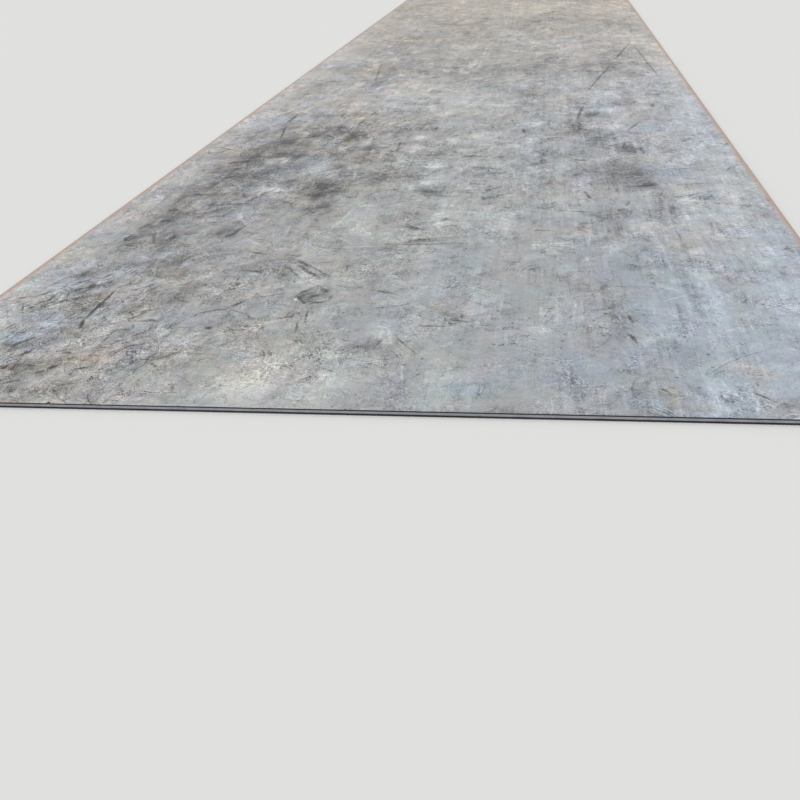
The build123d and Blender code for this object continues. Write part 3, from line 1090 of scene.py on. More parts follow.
# Strokes: start across and along, end across and along, half width, strength
DARK_STROKES = [
    # The first metre
    # The next stroke is painted shade in and behind the deepest knock in the front rim.
    (0.457, 0.000, 0.457, 0.012, 0.0050, 1.6),
    (1.898, 0.115, 1.950, 0.060, 0.0035, 0.9),
    (0.348, 0.135, 0.374, 0.156, 0.0055, 1.0),
    (0.258, 0.150, 0.266, 0.180, 0.0050, 1.1),
    (0.374, 0.154, 0.387, 0.183, 0.0060, 1.2),
    (0.430, 0.163, 0.468, 0.170, 0.0045, 1.0),
    (0.244, 0.178, 0.259, 0.204, 0.0050, 1.0),
    (0.300, 0.178, 0.352, 0.175, 0.0040, 0.9),
    (0.602, 0.198, 0.634, 0.174, 0.0035, 0.9),
    (1.195, 0.200, 1.222, 0.020, 0.0025, 0.25),
    (0.236, 0.215, 0.248, 0.247, 0.0040, 0.9),
    (0.361, 0.244, 0.406, 0.242, 0.0070, 1.2),
    (0.261, 0.247, 0.290, 0.248, 0.0060, 0.9),
    (0.198, 0.257, 0.262, 0.344, 0.0080, 0.8),
    (0.532, 0.258, 0.555, 0.249, 0.0070, 1.1),
    (0.300, 0.280, 0.235, 0.195, 0.0060, 0.6),
    (0.437, 0.298, 0.443, 0.336, 0.0050, 1.0),
    (0.169, 0.307, 0.225, 0.403, 0.0100, 0.5),
    (1.150, 0.310, 1.195, 0.200, 0.0030, 0.3),
    (0.139, 0.355, 0.154, 0.425, 0.0035, 1.1),
    (0.395, 0.385, 0.430, 0.420, 0.0040, 0.7),
    (0.670, 0.390, 0.690, 0.385, 0.0080, 0.9),
    (1.682, 0.390, 1.704, 0.315, 0.0050, 0.8),
    (0.375, 0.393, 0.450, 0.430, 0.0050, 0.7),
    (0.195, 0.400, 0.192, 0.300, 0.0040, 0.8),
    (1.190, 0.416, 1.280, 0.408, 0.0040, 0.8),
    (0.590, 0.420, 0.632, 0.492, 0.0040, 0.6),
    (0.450, 0.430, 0.531, 0.431, 0.0050, 0.7),
    (0.329, 0.440, 0.344, 0.386, 0.0060, 1.4),
    (0.275, 0.441, 0.308, 0.448, 0.0065, 1.0),
    (0.493, 0.443, 0.530, 0.430, 0.0070, 1.1),
    (0.893, 0.445, 0.908, 0.363, 0.0035, 0.7),
    (0.308, 0.448, 0.365, 0.474, 0.0050, 0.8),
    (0.829, 0.451, 0.887, 0.464, 0.0060, 0.8),
    (1.262, 0.455, 1.322, 0.434, 0.0050, 0.9),
    (0.604, 0.468, 0.694, 0.523, 0.0045, 0.7),
    (1.690, 0.490, 1.702, 0.425, 0.0040, 1.0),
    (0.632, 0.492, 0.700, 0.510, 0.0050, 0.6),
    (0.700, 0.505, 0.770, 0.465, 0.0040, 0.6),
    (0.129, 0.519, 0.153, 0.513, 0.0060, 1.1),
    (0.135, 0.519, 0.170, 0.581, 0.0035, 0.9),
    (0.694, 0.522, 0.727, 0.573, 0.0055, 0.9),
    (0.899, 0.533, 0.925, 0.392, 0.0035, 0.7),
    (0.889, 0.540, 0.944, 0.562, 0.0060, 0.8),
    (0.944, 0.560, 0.949, 0.610, 0.0060, 0.6),
    (0.168, 0.567, 0.221, 0.639, 0.0050, 0.7),
    (0.727, 0.573, 0.835, 0.628, 0.0030, 0.7),
    (0.884, 0.580, 0.922, 0.614, 0.0050, 0.9),
    (0.107, 0.589, 0.171, 0.661, 0.0045, 0.9),
    (0.852, 0.605, 0.889, 0.540, 0.0065, 0.8),
    (0.852, 0.610, 0.890, 0.664, 0.0060, 0.7),
    (0.320, 0.620, 0.160, 0.535, 0.0120, 0.5),
    (0.101, 0.639, 0.141, 0.754, 0.0050, 0.6),
    (1.040, 0.642, 1.125, 0.608, 0.0050, 0.7),
    (0.905, 0.650, 0.935, 0.615, 0.0090, 0.6),
    (0.171, 0.661, 0.229, 0.737, 0.0045, 1.0),
    (0.325, 0.665, 0.385, 0.695, 0.0050, 0.7),
    (0.326, 0.665, 0.330, 0.415, 0.0055, 1.5),
    (0.106, 0.669, 0.154, 0.714, 0.0035, 0.8),
    (0.260, 0.670, 0.180, 0.560, 0.0080, 0.6),
    (0.260, 0.685, 0.290, 0.705, 0.0050, 0.7),
    (0.290, 0.700, 0.160, 0.580, 0.0130, 0.6),
    (1.640, 0.760, 1.665, 0.380, 0.0160, 0.25),
    (0.640, 0.785, 0.720, 0.770, 0.0080, 0.5),
    (0.750, 0.840, 0.850, 0.700, 0.0050, 0.6),
    (0.770, 0.860, 0.905, 0.700, 0.0070, 0.9),
    (0.795, 0.865, 0.925, 0.720, 0.0050, 0.7),
    (0.780, 0.880, 0.840, 0.800, 0.0090, 1.0),
    (1.842, 0.880, 1.866, 0.380, 0.0150, 0.45),
    (0.605, 0.945, 0.690, 0.915, 0.0050, 0.8),
    (0.950, 0.990, 1.310, 1.003, 0.0050, 0.7),
    (0.990, 0.995, 1.215, 1.035, 0.0060, 0.5),
    # The second metre
    (1.060, 1.020, 1.180, 1.048, 0.0090, 0.6),
    (0.315, 1.035, 0.335, 1.110, 0.0120, 0.6),
    (0.503, 1.066, 0.537, 1.224, 0.0060, 0.6),
    (1.744, 1.080, 1.748, 1.040, 0.0040, 0.7),
    (1.874, 1.100, 1.877, 1.020, 0.0040, 0.8),
    (0.341, 1.101, 0.398, 1.128, 0.0060, 0.7),
    (1.440, 1.115, 1.530, 1.110, 0.0070, 0.6),
    (0.300, 1.150, 0.340, 1.070, 0.0060, 0.6),
    (0.165, 1.155, 0.205, 1.250, 0.0120, 0.6),
    (0.230, 1.160, 0.290, 1.000, 0.0060, 0.5),
    (0.530, 1.180, 0.502, 1.060, 0.0070, 0.8),
    (1.030, 1.180, 1.140, 1.120, 0.0080, 0.8),
    (1.040, 1.200, 1.135, 1.120, 0.0060, 0.7),
    (0.205, 1.250, 0.275, 1.255, 0.0110, 0.6),
    (1.665, 1.250, 1.735, 1.270, 0.0080, 0.6),
    (0.335, 1.309, 0.406, 1.419, 0.0070, 0.6),
    (1.530, 1.310, 1.650, 1.285, 0.0080, 0.7),
    (0.655, 1.350, 0.790, 1.395, 0.0100, 0.4),
    (0.190, 1.375, 0.240, 1.370, 0.0160, 0.8),
    (1.765, 1.410, 1.745, 1.330, 0.0060, 0.6),
    (1.885, 1.410, 1.885, 1.180, 0.0090, 0.4),
    (0.300, 1.415, 0.455, 1.440, 0.0090, 0.7),
    (0.443, 1.416, 0.501, 1.596, 0.0080, 0.6),
    (1.885, 1.420, 2.055, 1.510, 0.0070, 0.6),
    (1.280, 1.490, 1.290, 1.430, 0.0050, 0.8),
    (1.700, 1.490, 1.710, 1.620, 0.0040, 0.3),
    (1.100, 1.505, 1.205, 1.475, 0.0080, 0.6),
    (0.244, 1.512, 0.275, 1.891, 0.0080, 0.5),
    (2.050, 1.520, 1.990, 1.430, 0.0040, 0.6),
    (1.615, 1.530, 1.645, 1.415, 0.0060, 0.8),
    (1.618, 1.545, 1.636, 1.465, 0.0040, 0.9),
    (1.770, 1.565, 1.885, 1.585, 0.0100, 0.8),
    (0.210, 1.570, 0.305, 1.545, 0.0140, 0.5),
    (1.020, 1.570, 1.150, 1.540, 0.0120, 0.4),
    (1.915, 1.580, 2.045, 1.595, 0.0080, 0.5),
    (0.395, 1.590, 0.445, 1.490, 0.0060, 0.6),
    (1.575, 1.735, 1.645, 1.715, 0.0120, 0.7),
    (0.370, 1.755, 0.395, 1.810, 0.0120, 0.8),
    (0.255, 1.760, 0.310, 1.815, 0.0120, 0.7),
    (1.255, 1.775, 1.355, 1.770, 0.0110, 0.7),
    (1.210, 1.865, 1.325, 1.825, 0.0120, 0.6),
    (1.400, 1.880, 1.545, 1.920, 0.0100, 0.5),
    (1.585, 1.945, 1.650, 1.925, 0.0120, 0.7),
    (1.280, 1.995, 1.340, 2.020, 0.0150, 0.7),
    # The third metre
    (0.190, 2.005, 0.335, 2.040, 0.0110, 0.8),
    (1.155, 2.035, 1.260, 2.025, 0.0120, 0.7),
    (0.945, 2.075, 1.150, 2.055, 0.0100, 0.6),
    (1.700, 2.105, 1.825, 2.210, 0.0100, 0.6),
    (1.802, 2.210, 1.790, 2.120, 0.0060, 0.9),
    (0.060, 2.300, 0.210, 2.195, 0.0070, 0.7),
    (0.035, 2.310, 0.210, 2.205, 0.0100, 0.7),
    (1.782, 2.310, 1.745, 2.235, 0.0060, 0.8),
    (0.875, 2.320, 0.890, 2.080, 0.0050, 0.7),
    (0.313, 2.353, 0.530, 2.497, 0.0110, 0.6),
    (1.388, 2.510, 1.400, 2.385, 0.0065, 1.2),
    (1.902, 2.590, 1.818, 2.385, 0.0060, 1.1),
    (1.004, 2.610, 1.008, 2.510, 0.0050, 1.0),
    (1.618, 2.610, 1.634, 2.520, 0.0060, 0.9),
    (0.870, 2.630, 0.900, 2.490, 0.0050, 0.7),
    (0.612, 2.640, 0.598, 2.520, 0.0050, 0.8),
    (0.272, 2.690, 0.318, 2.410, 0.0060, 1.1),
    (1.712, 2.700, 1.645, 2.530, 0.0050, 0.9),
    (0.642, 2.800, 0.620, 2.650, 0.0060, 1.0),
    (0.664, 2.980, 0.648, 2.840, 0.0080, 1.0),
    (1.987, 2.980, 1.965, 2.850, 0.0070, 1.0),
    (0.265, 2.990, 0.257, 2.720, 0.0080, 1.1),
    (1.665, 2.990, 1.618, 2.600, 0.0090, 0.9),
    # Past the third
    (1.660, 3.150, 1.860, 4.150, 0.0070, 1.0),
    (2.080, 3.500, 2.030, 4.900, 0.0070, 0.8),
    (0.520, 3.700, 0.430, 4.500, 0.0080, 0.6),
    (1.860, 4.150, 2.040, 5.050, 0.0080, 0.9),
]
PALE_STROKES = [
    # The first metre
    (1.911, 0.100, 1.900, 0.010, 0.0035, 1.0),
    (1.185, 0.240, 1.205, 0.115, 0.0035, 0.9),
    (1.150, 0.300, 1.185, 0.240, 0.0040, 0.9),
    (1.128, 0.400, 1.150, 0.300, 0.0050, 0.9),
    (1.095, 0.412, 1.128, 0.400, 0.0070, 0.9),
    (1.865, 0.420, 1.866, 0.280, 0.0080, 0.5),
    (1.768, 0.558, 1.862, 0.622, 0.0045, 0.8),
    # The next stroke is a painted glint: a bright speck of reflected light.
    (0.853, 0.582, 0.858, 0.564, 0.0050, 3.0),
    (1.901, 0.640, 1.891, 0.340, 0.0090, 0.6),
    (0.879, 0.672, 0.900, 0.692, 0.0045, 0.9),
    (0.605, 0.687, 0.663, 0.709, 0.0050, 0.7),
    (0.660, 0.715, 0.702, 0.635, 0.0035, 0.9),
    (0.845, 0.721, 0.879, 0.670, 0.0050, 1.0),
    (0.676, 0.723, 0.717, 0.643, 0.0035, 0.9),
    (0.691, 0.731, 0.732, 0.650, 0.0035, 0.8),
    (0.800, 0.800, 0.882, 0.675, 0.0150, 0.9),
    (1.900, 0.880, 1.898, 0.330, 0.0240, 0.7),
    (0.435, 0.965, 0.460, 1.030, 0.0070, 0.8),
    (0.850, 0.975, 1.050, 0.985, 0.0060, 0.8),
    (0.650, 0.985, 0.690, 1.040, 0.0060, 0.9),
    # The second metre
    (0.690, 1.040, 0.680, 1.220, 0.0060, 0.8),
    (1.030, 1.045, 1.330, 1.092, 0.0070, 0.6),
    (0.570, 1.065, 0.650, 0.985, 0.0060, 0.8),
    (0.870, 1.070, 0.925, 0.995, 0.0060, 0.7),
    (0.825, 1.130, 0.860, 1.390, 0.0060, 0.9),
    (1.378, 1.170, 1.382, 1.020, 0.0060, 0.6),
    # The next stroke is a painted glint: a small streak of reflected light.
    (0.465, 1.350, 0.492, 1.240, 0.0090, 1.1),
    (1.912, 1.350, 1.918, 1.160, 0.0080, 0.6),
    (0.860, 1.390, 0.940, 1.400, 0.0070, 0.9),
    (0.500, 1.595, 0.570, 1.590, 0.0160, 0.9),
    (1.040, 1.645, 1.090, 1.645, 0.0260, 1.1),
    (1.030, 1.885, 1.115, 1.875, 0.0300, 1.0),
    (0.755, 1.960, 0.790, 1.695, 0.0070, 1.1),
    # The third metre
    (0.180, 2.045, 0.325, 2.080, 0.0090, 0.8),
    (0.040, 2.330, 0.165, 2.240, 0.0090, 0.8),
]


def oval(tree, place, centre, half_size, turn, soft):
    """Place an oval mark by its centre, its half sizes, its turn and the softness of its rim."""
    long_half, short_half = half_size
    cosine, sine = math.cos(turn), math.sin(turn)
    return use(
        tree,
        MARK,
        Place=place,
        Centre=(*centre, 0.0),
        Long_Axis=(cosine / long_half, sine / long_half, 0.0),
        Short_Axis=(-sine / short_half, cosine / short_half, 0.0),
        Inner=1 - soft,
    )


# How far a mark's place wanders, and how far a triangle reaches past its panel's rim
MARK_WANDER = 0.03
TRIANGLE_REACH = 0.06


def reaches(panel, across, along, reach):
    """Whether a mark of a reach comes into a panel, or into the triangles that straddle its rim."""
    x0, x1, y0, y1 = panel
    margin = reach + MARK_WANDER + TRIANGLE_REACH
    return x0 - margin < across < x1 + margin and y0 - margin < along < y1 + margin


def shades(tree, place, panel, table):
    """All the shades of a table that reach into a panel, added up."""
    tone = 0.0
    for across, along, half_across, half_along, turn, strength in table:
        if reaches(panel, across, along, max(half_across, half_along)):
            half_size = (half_across, half_along)
            shade = oval(tree, place, (across, along), half_size, math.radians(turn), 1.0)
            tone = calc(tree, "ADD", tone, weigh(tree, shade["Mask"], strength))
    return tone


def blots(tree, place, panel, table):
    """The strongest of a table of blots at each place in a panel."""
    mask = 0.0
    for across, along, half_across, half_along, turn, soft, strength in table:
        if reaches(panel, across, along, max(half_across, half_along)):
            turned = math.radians(turn)
            spot = oval(tree, place, (across, along), (half_across, half_along), turned, soft)
            mask = calc(tree, "MAXIMUM", mask, weigh(tree, spot["Mask"], strength))
    return mask


def strokes(tree, place, panel, table):
    """The strongest of a table of strokes at each place in a panel.

    A stroke is an oval a little longer and wider than the stroke, as its rim is soft.
    """
    mask = 0.0
    for x0, y0, x1, y1, half_width, strength in table:
        middle = ((x0 + x1) / 2, (y0 + y1) / 2)
        half_length = math.hypot(x1 - x0, y1 - y0) / 2
        if reaches(panel, *middle, half_length):
            turn = math.atan2(y1 - y0, x1 - x0)
            half_size = (half_length * 1.12, half_width * 1.4)
            line = oval(tree, place, middle, half_size, turn, 0.7)
            mask = calc(tree, "MAXIMUM", mask, weigh(tree, line["Mask"], strength))
    return mask


def colour_ramp(tree, value, stops):
    """Read a value through a row of colours, each with its position."""
    node = tree.nodes.new("ShaderNodeValToRGB")
    for position, _ in stops[1:-1]:
        node.color_ramp.elements.new(position)
    for element, (position, colour) in zip(node.color_ramp.elements, stops):
        element.position = position
        element.color = colour
    feed(tree, node.inputs[0], value)
    return node.outputs[0]


# Tone of the upper face from its left side to its right, where 0.5 is the middle grey
TONE_ACROSS = [
    (0.0, 0.60),
    (0.05, 0.59),
    (0.085, 0.48),
    (0.2, 0.45),
    (0.40, 0.50),
    (0.62, 0.53),
    (0.80, 0.52),
    (0.88, 0.58),
    (1.0, 0.64),
]
# How patchy it is near the front end, from side to side, where 0.5 is as elsewhere
PATCHINESS_ACROSS = [
    (0.0, 0.76),
    (0.14, 0.78),
    (0.3, 0.56),
    (0.5, 0.52),
    (0.64, 0.36),
    (0.76, 0.38),
    (0.86, 0.5),
]
# The grey of each tone from 0 to 1
GREYS = [
    (0.0, srgb(57, 56, 56)),
    (0.25, srgb(115, 114, 114)),
    (0.5, srgb(167, 167, 167)),
    (0.75, srgb(196, 196, 195)),
    (1.0, srgb(226, 226, 224)),
]


def grey_stops(levels):
    """Colour ramp stops from a list of positions and levels of grey."""
    return [(position, (level, level, level, 1.0)) for position, level in levels]


def make_ragged():
    """A place that wanders a little, which gives a mark an uneven rim."""
    tree, given, result = effect(
        "ragged_place",
        [("Place", "place", None), ("Per Metre", "value", 20.0), ("Reach", "value", 0.02)],
        [("Place", "place")],
    )
    first = cloud(tree, given["Place"], given["Per Metre"], 3.0, 0.7)
    elsewhere = vector_calc(tree, "ADD", given["Place"], (5.0, 0.0, 0.0))
    second = cloud(tree, elsewhere, given["Per Metre"], 3.0, 0.7)
    shift_across = calc(tree, "MULTIPLY", lean(tree, first, 1.0), given["Reach"])
    shift_along = calc(tree, "MULTIPLY", lean(tree, second, 1.0), given["Reach"])
    moved = vector_calc(tree, "ADD", given["Place"], combine(tree, shift_across, shift_along))
    feed(tree, result["Place"], moved)
    return tree


RAGGED = make_ragged()


def streaks(tree, wisps, dark, pale, grain):
    """What a set of wisps adds to the tone, by its three weights."""
    return total(
        tree,
        weigh(tree, wisps["Dark"], dark),
        weigh(tree, wisps["Pale"], pale),
        lean(tree, wisps["Grain"], grain),
    )


def side_to_side(tree, across, along, near):
    """How tone and patchiness change from the left side to the right: the tone that this adds,
    which is weaker further on, and the contrast that it adds near the front end."""
    side_share = calc(tree, "DIVIDE", across, WIDTH)
    profile = lean(tree, colour_ramp(tree, side_share, grey_stops(TONE_ACROSS)), 1.0)
    profile = calc(tree, "MULTIPLY", profile, calc(tree, "ADD", 0.25, weigh(tree, near, 0.75)))
    front = spread(tree, along, 1.2, 0.5)
    patchy = lean(tree, colour_ramp(tree, side_share, grey_stops(PATCHINESS_ACROSS)), 2.4)
    return profile, calc(tree, "MULTIPLY", front, patchy)


def face_wisps(tree, place, across, along):
    """Wisps that slant at the left, lie across the middle and run along the plate at the right:
    the tone that they add, and the fibre that breaks the shades up."""
    bent = use(tree, RAGGED, Place=place, Per_Metre=3.0, Reach=0.3)["Place"]
    left_wisps = use(tree, WISPS, Place=bent, Turn=math.radians(60))
    left = calc(tree, "MULTIPLY", spread(tree, across, 0.95, 0.35), spread(tree, along, 4.2, 2.6))
    level_wisps = use(tree, WISPS, Place=bent, Turn=math.radians(8))
    past_front = spread(tree, along, 0.5, 1.6)
    level = calc(tree, "MULTIPLY", past_front, spread(tree, across, 0.1, 0.8, 0.35, 1.0))
    right_wisps = use(tree, WISPS, Place=place, Turn=math.radians(90), Per_Metre=60.0)
    to_right = spread(tree, across, 1.0, 1.6)
    right = calc(tree, "MULTIPLY", to_right, spread(tree, along, 2.4, 0.8, 0.4, 1.0))
    tone = total(
        tree,
        calc(tree, "MULTIPLY", streaks(tree, left_wisps, -0.24, 0.10, 0.08), left),
        calc(tree, "MULTIPLY", streaks(tree, level_wisps, -0.15, 0.07, 0.02), level),
        calc(tree, "MULTIPLY", streaks(tree, right_wisps, -0.08, 0.10, 0.20), right),
    )
    level_share = spread(tree, across, 0.7, 1.2)
    slanting_share = calc(tree, "SUBTRACT", 1.0, level_share)
    slanting = calc(tree, "MULTIPLY", lean(tree, left_wisps["Grain"], 3.6), slanting_share)
    level_grain = calc(tree, "MULTIPLY", lean(tree, level_wisps["Grain"], 3.6), level_share)
    return tone, total(tree, 0.9, slanting, level_grain)


def face_flakes(tree, drawn_out, pale_blots):
    """Lifted flakes of two sizes, the small ones with a painted highlight beside their dark rim, offset so
    that they look raised, and pale rims that are strongest in the pale blots: the tone that they add."""
    large = use(tree, FLAKES, Place=drawn_out, Per_Metre=8.0, Width=0.016)
    small_place = vector_calc(tree, "ADD", drawn_out, (1.9, 12.7, 0.0))
    small = use(tree, FLAKES, Place=small_place, Per_Metre=21.0, Width=0.03)
    # Painted highlight: the small flakes' rims again, shifted a little and made paler, so each dark rim has
    # a lit edge beside it.
    highlight_place = vector_calc(tree, "ADD", small_place, (0.001, 0.0045, 0.0))
    painted_highlight_rims = use(tree, FLAKES, Place=highlight_place, Per_Metre=21.0, Width=0.03)["Rim"]
    pale_place = vector_calc(tree, "ADD", drawn_out, (6.1, 3.3, 0.0))
    pale_rims = use(tree, FLAKES, Place=pale_place, Per_Metre=12.0, Width=0.03)["Rim"]
    pale_weight = calc(tree, "ADD", 0.10, weigh(tree, pale_blots, 0.22))
    return total(
        tree,
        weigh(tree, large["Rim"], -0.20),
        weigh(tree, large["Flake"], 0.08),
        weigh(tree, small["Rim"], -0.18),
        weigh(tree, small["Flake"], 0.05),
        weigh(tree, painted_highlight_rims, 0.12),
        calc(tree, "MULTIPLY", pale_rims, pale_weight),
    )


def face_scuffs(tree, place):
    """Drag scuffs all over: the tone that the long ones add, and the short ones."""
    tremble = use(tree, RAGGED, Place=place, Per_Metre=14.0, Reach=0.012)["Place"]
    long_ones = use(tree, SCUFFS, Place=tremble, Per_Metre=3.1, Length=0.4, Width=0.012, Band=0.16)
    long_tone = total(
        tree, weigh(tree, long_ones["Line"], -0.16), weigh(tree, long_ones["Wipe"], 0.10)
    )
    elsewhere = vector_calc(tree, "ADD", tremble, (7.3, 2.2, 0.0))
    short_ones = use(tree, SCUFFS, Place=elsewhere, Per_Metre=9.0, Length=0.45, Width=0.03, Band=0.2)
    short_tone = total(
        tree, weigh(tree, short_ones["Line"], -0.13), weigh(tree, short_ones["Wipe"], -0.11)
    )
    return long_tone, short_tone


def placed_marks(tree, given, place):
    """The face's own blots and strokes, worn away in small spots: the tone that they add."""
    worn_place = vector_calc(tree, "ADD", place, (4.4, 9.2, 0.0))
    worn = spread(tree, cloud(tree, worn_place, 75.0, 4.0, 0.8), 0.38, 0.56)
    worn = calc(tree, "ADD", 0.45, weigh(tree, worn, 0.75))
    lines_worn = calc(tree, "ADD", 0.35, weigh(tree, worn, 0.65))
    dark_lines = calc(tree, "MULTIPLY", given["Dark Strokes"], lines_worn)
    pale_strokes = weigh(tree, given["Pale Strokes"], 0.20)
    pale_marks = total(tree, weigh(tree, given["Pale Blots"], 0.13), pale_strokes)
    return total(
        tree,
        calc(tree, "MULTIPLY", weigh(tree, given["Dark Blots"], -0.20), worn),
        weigh(tree, dark_lines, -0.36),
        calc(tree, "MULTIPLY", pale_marks, worn),
    )


def face_tint(tree, given, across, along, worn_rim):
    """Tint of the face: cooler to the right, warmer further on, and by its own blots."""
    right_cool = calc(tree, "MULTIPLY", spread(tree, across, 0.7, 2.1), spread(tree, along, 4.4, 3.0))
    right_cool = calc(tree, "MULTIPLY", right_cool, spread(tree, along, 1.5, 0.6, 0.6, 1.0))
    far_warm = spread(tree, along, 2.0, 9.0)
    warmth = total(
        tree,
        -0.06,
        weigh(tree, right_cool, -0.75),
        weigh(tree, far_warm, 0.85),
        calc(tree, "MULTIPLY", worn_rim, spread(tree, across, 0.6, 0.35, 0.0, 0.9)),
        weigh(tree, given["Rusty"], 1.4),
        weigh(tree, given["Bluish"], -1.15),
    )
    middle = calc(tree, "MULTIPLY", spread(tree, across, 0.5, 0.9), spread(tree, across, 1.7, 1.2))
    middle_green = weigh(tree, middle, 0.13)
    green = total(tree, middle_green, weigh(tree, spread(tree, along, 0.8, 3.0), -0.10))
    uneven = total(
        tree,
        1.0,
        weigh(tree, spread(tree, across, 0.95, 0.5), 0.95),
        weigh(tree, spread(tree, across, 1.2, 1.7), 0.3),
    )
    return use(tree, CAST, Place=given["Place"], Warmth=warmth, Green=green, Uneven=uneven)["Tint"]


def side_rust(tree, place, from_side, clouds):
    """The thin line of rust along both long sides, of an uneven width and strength."""
    reach = calc(tree, "ADD", 0.026, lean(tree, cloud(tree, place, 9.0, 4.0, 0.7), 0.06))
    rust = spread(tree, from_side, reach, 0.0)
    rust = calc(tree, "MULTIPLY", rust, calc(tree, "ADD", 0.95, lean(tree, clouds, 1.8)))
    return held(tree, rust)


def make_dusty_scale():
    """Grey mill scale under yard dust, scuffed all over, with its own marks where its masks say."""
    tree, given, result = effect(
        "dusty_scale",
        [
            ("Place", "place", None),
            ("Shade", "value", 0.0),
            ("Dark Blots", "value", 0.0),
            ("Dark Strokes", "value", 0.0),
            ("Pale Blots", "value", 0.0),
            ("Pale Strokes", "value", 0.0),
            ("Rusty", "value", 0.0),
            ("Bluish", "value", 0.0),
        ],
        [("Colour", "colour"), ("Roughness", "value"), ("Grain", "value")],
    )
    place = given["Place"]
    across, along, _ = split(tree, place)
    # Further from the front end the texture is drawn out along the plate
    eased = calc(tree, "MULTIPLY", calc(tree, "TANH", calc(tree, "DIVIDE", along, 1.2)), 0.48)
    drawn_out = combine(tree, across, calc(tree, "ADD", calc(tree, "MULTIPLY", along, 0.52), eased))
    mottle = use(tree, MOTTLE, Place=drawn_out, Seed=(3.1, 7.7, 0.0))
    near = spread(tree, along, 3.6, 2.0)
    far = spread(tree, along, 2.3, 3.5)
    profile, patchy_front = side_to_side(tree, across, along, near)
    grain = cloud(tree, place, 330.0, 2.0, 0.7)
    wisps, fibre = face_wisps(tree, place, across, along)
    long_scuffs, short_scuffs = face_scuffs(tree, place)
    specks = use(tree, SPECKS, Place=place, Per_Metre=26.0, Size=0.16)["Mask"]
    pale_blots = given["Pale Blots"]
    flecks = use(tree, FLECKS, Place=place, Per_Metre=130.0, Cover=0.6, Here=pale_blots)["Mask"]
    detail = total(
        tree,
        -0.015,
        lean(tree, mottle["Cloud"], 1.05),
        lean(tree, mottle["Streak"], 0.22),
        lean(tree, grain, 0.65),
        wisps,
        face_flakes(tree, drawn_out, pale_blots),
        weigh(tree, flecks, 0.25),
        short_scuffs,
    )
    contrast = total(
        tree,
        0.68,
        weigh(tree, mottle["Busy"], 0.8),
        patchy_front,
        weigh(tree, spread(tree, along, 0.8, 2.2), 0.42),
        weigh(tree, spread(tree, along, 3.4, 5.4), -0.16),
    )

    from_side = calc(tree, "MINIMUM", across, calc(tree, "SUBTRACT", WIDTH, across))
    margin_end = calc(tree, "MULTIPLY", far, spread(tree, along, 6.0, 4.0, 0.2, 1.0))
    pale_margin = calc(tree, "MULTIPLY", spread(tree, from_side, 0.20, 0.03), margin_end)
    worn_rim = spread(tree, along, 0.016, 0.004)
    broad_share = calc(tree, "SUBTRACT", 0.58, weigh(tree, near, 0.50))
    tone = total(
        tree,
        0.49,
        profile,
        calc(tree, "MULTIPLY", given["Shade"], fibre),
        calc(tree, "MULTIPLY", worn_rim, spread(tree, across, 1.4, 0.8, -0.06, 0.08)),
        weigh(tree, pale_margin, 0.14),
        weigh(tree, far, 0.03),
        calc(tree, "MULTIPLY", lean(tree, mottle["Broad"], 1.0), broad_share),
        calc(tree, "MULTIPLY", detail, contrast),
        weigh(tree, specks, -0.25),
        long_scuffs,
        placed_marks(tree, given, place),
    )
    tone = held(tree, tone)

    tint = face_tint(tree, given, across, along, worn_rim)
    colour = blend(tree, 1.0, colour_ramp(tree, tone, GREYS), tint, "MULTIPLY")
    rust = side_rust(tree, place, from_side, mottle["Cloud"])
    feed(tree, result["Colour"], blend(tree, rust, colour, srgb(186, 155, 139)))
    feed(tree, result["Roughness"], spread(tree, tone, 0.1, 0.9, 0.5, 0.72))
    feed(tree, result["Grain"], grain)
    return tree


DUSTY_SCALE = make_dusty_scale()


def upper_face_material(number, panel):
    """The upper face over one panel: dusty scale with the marks that lie there."""
    material, tree, shader = new_material(f"dusty_mill_scale_{number + 1}", 0.0, 0.3)
    place = from_front_left(tree)
    wander = use(tree, RAGGED, Place=place, Per_Metre=26.0, Reach=0.05)["Place"]
    tremble = use(tree, RAGGED, Place=place, Per_Metre=14.0, Reach=0.012)["Place"]
    face = use(
        tree,
        DUSTY_SCALE,
        Place=place,
        Shade=shades(tree, wander, panel, SHADES),
        Dark_Blots=blots(tree, wander, panel, DARK_BLOTS),
        Dark_Strokes=strokes(tree, tremble, panel, DARK_STROKES),
        Pale_Blots=blots(tree, wander, panel, PALE_BLOTS),
        Pale_Strokes=strokes(tree, tremble, panel, PALE_STROKES),
        Rusty=blots(tree, wander, panel, RUSTY_BLOTS),
        Bluish=blots(tree, wander, panel, BLUISH_BLOTS),
    )
    feed(tree, shader.inputs["Base Color"], face["Colour"])
    feed(tree, shader.inputs["Roughness"], face["Roughness"])
    feed(tree, shader.inputs["Normal"], bump(tree, face["Grain"], 0.0004))
    return material


def edge_material(name, dark, light, metallic, roughness, relief, painted_shade_top=False):
    """A band of a cut edge, with small stains, and a near-black painted shade below the lip if its top is
    to be shaded.
    """
    material, tree, shader = new_material(name, metallic, 0.4)
    place = tree.nodes.new("ShaderNodeTexCoord").outputs["Object"]
    stain = cloud(tree, place, 38.0, 4.0, 0.65, solid=True)
    squashed = vector_calc(tree, "MULTIPLY", place, (1.0, 1.0, 2.5))
    tooth = cloud(tree, squashed, 520.0, 3.0, 0.6, solid=True)
    tone = total(tree, 0.5, lean(tree, stain, 1.6), lean(tree, tooth, 1.2))
    tone = held(tree, tone)
    colour = blend(tree, tone, dark, light)
    if painted_shade_top:
        # Painted shade: the top of the land, just under the lip, blends into near black, which widens the
        # dark line along the rim.
        height = split(tree, place)[2]
        painted_rim_shade = spread(tree, calc(tree, "ADD", height, lean(tree, stain, 0.6 * MM)), 9.5 * MM, 10.6 * MM)
        colour = blend(tree, painted_rim_shade, colour, srgb(24, 24, 26))
    feed(tree, shader.inputs["Base Color"], colour)
    feed(tree, shader.inputs["Roughness"], spread(tree, tone, 0.0, 1.0, roughness + 0.12, roughness - 0.08))
    feed(tree, shader.inputs["Normal"], bump(tree, tooth, relief))
    return material


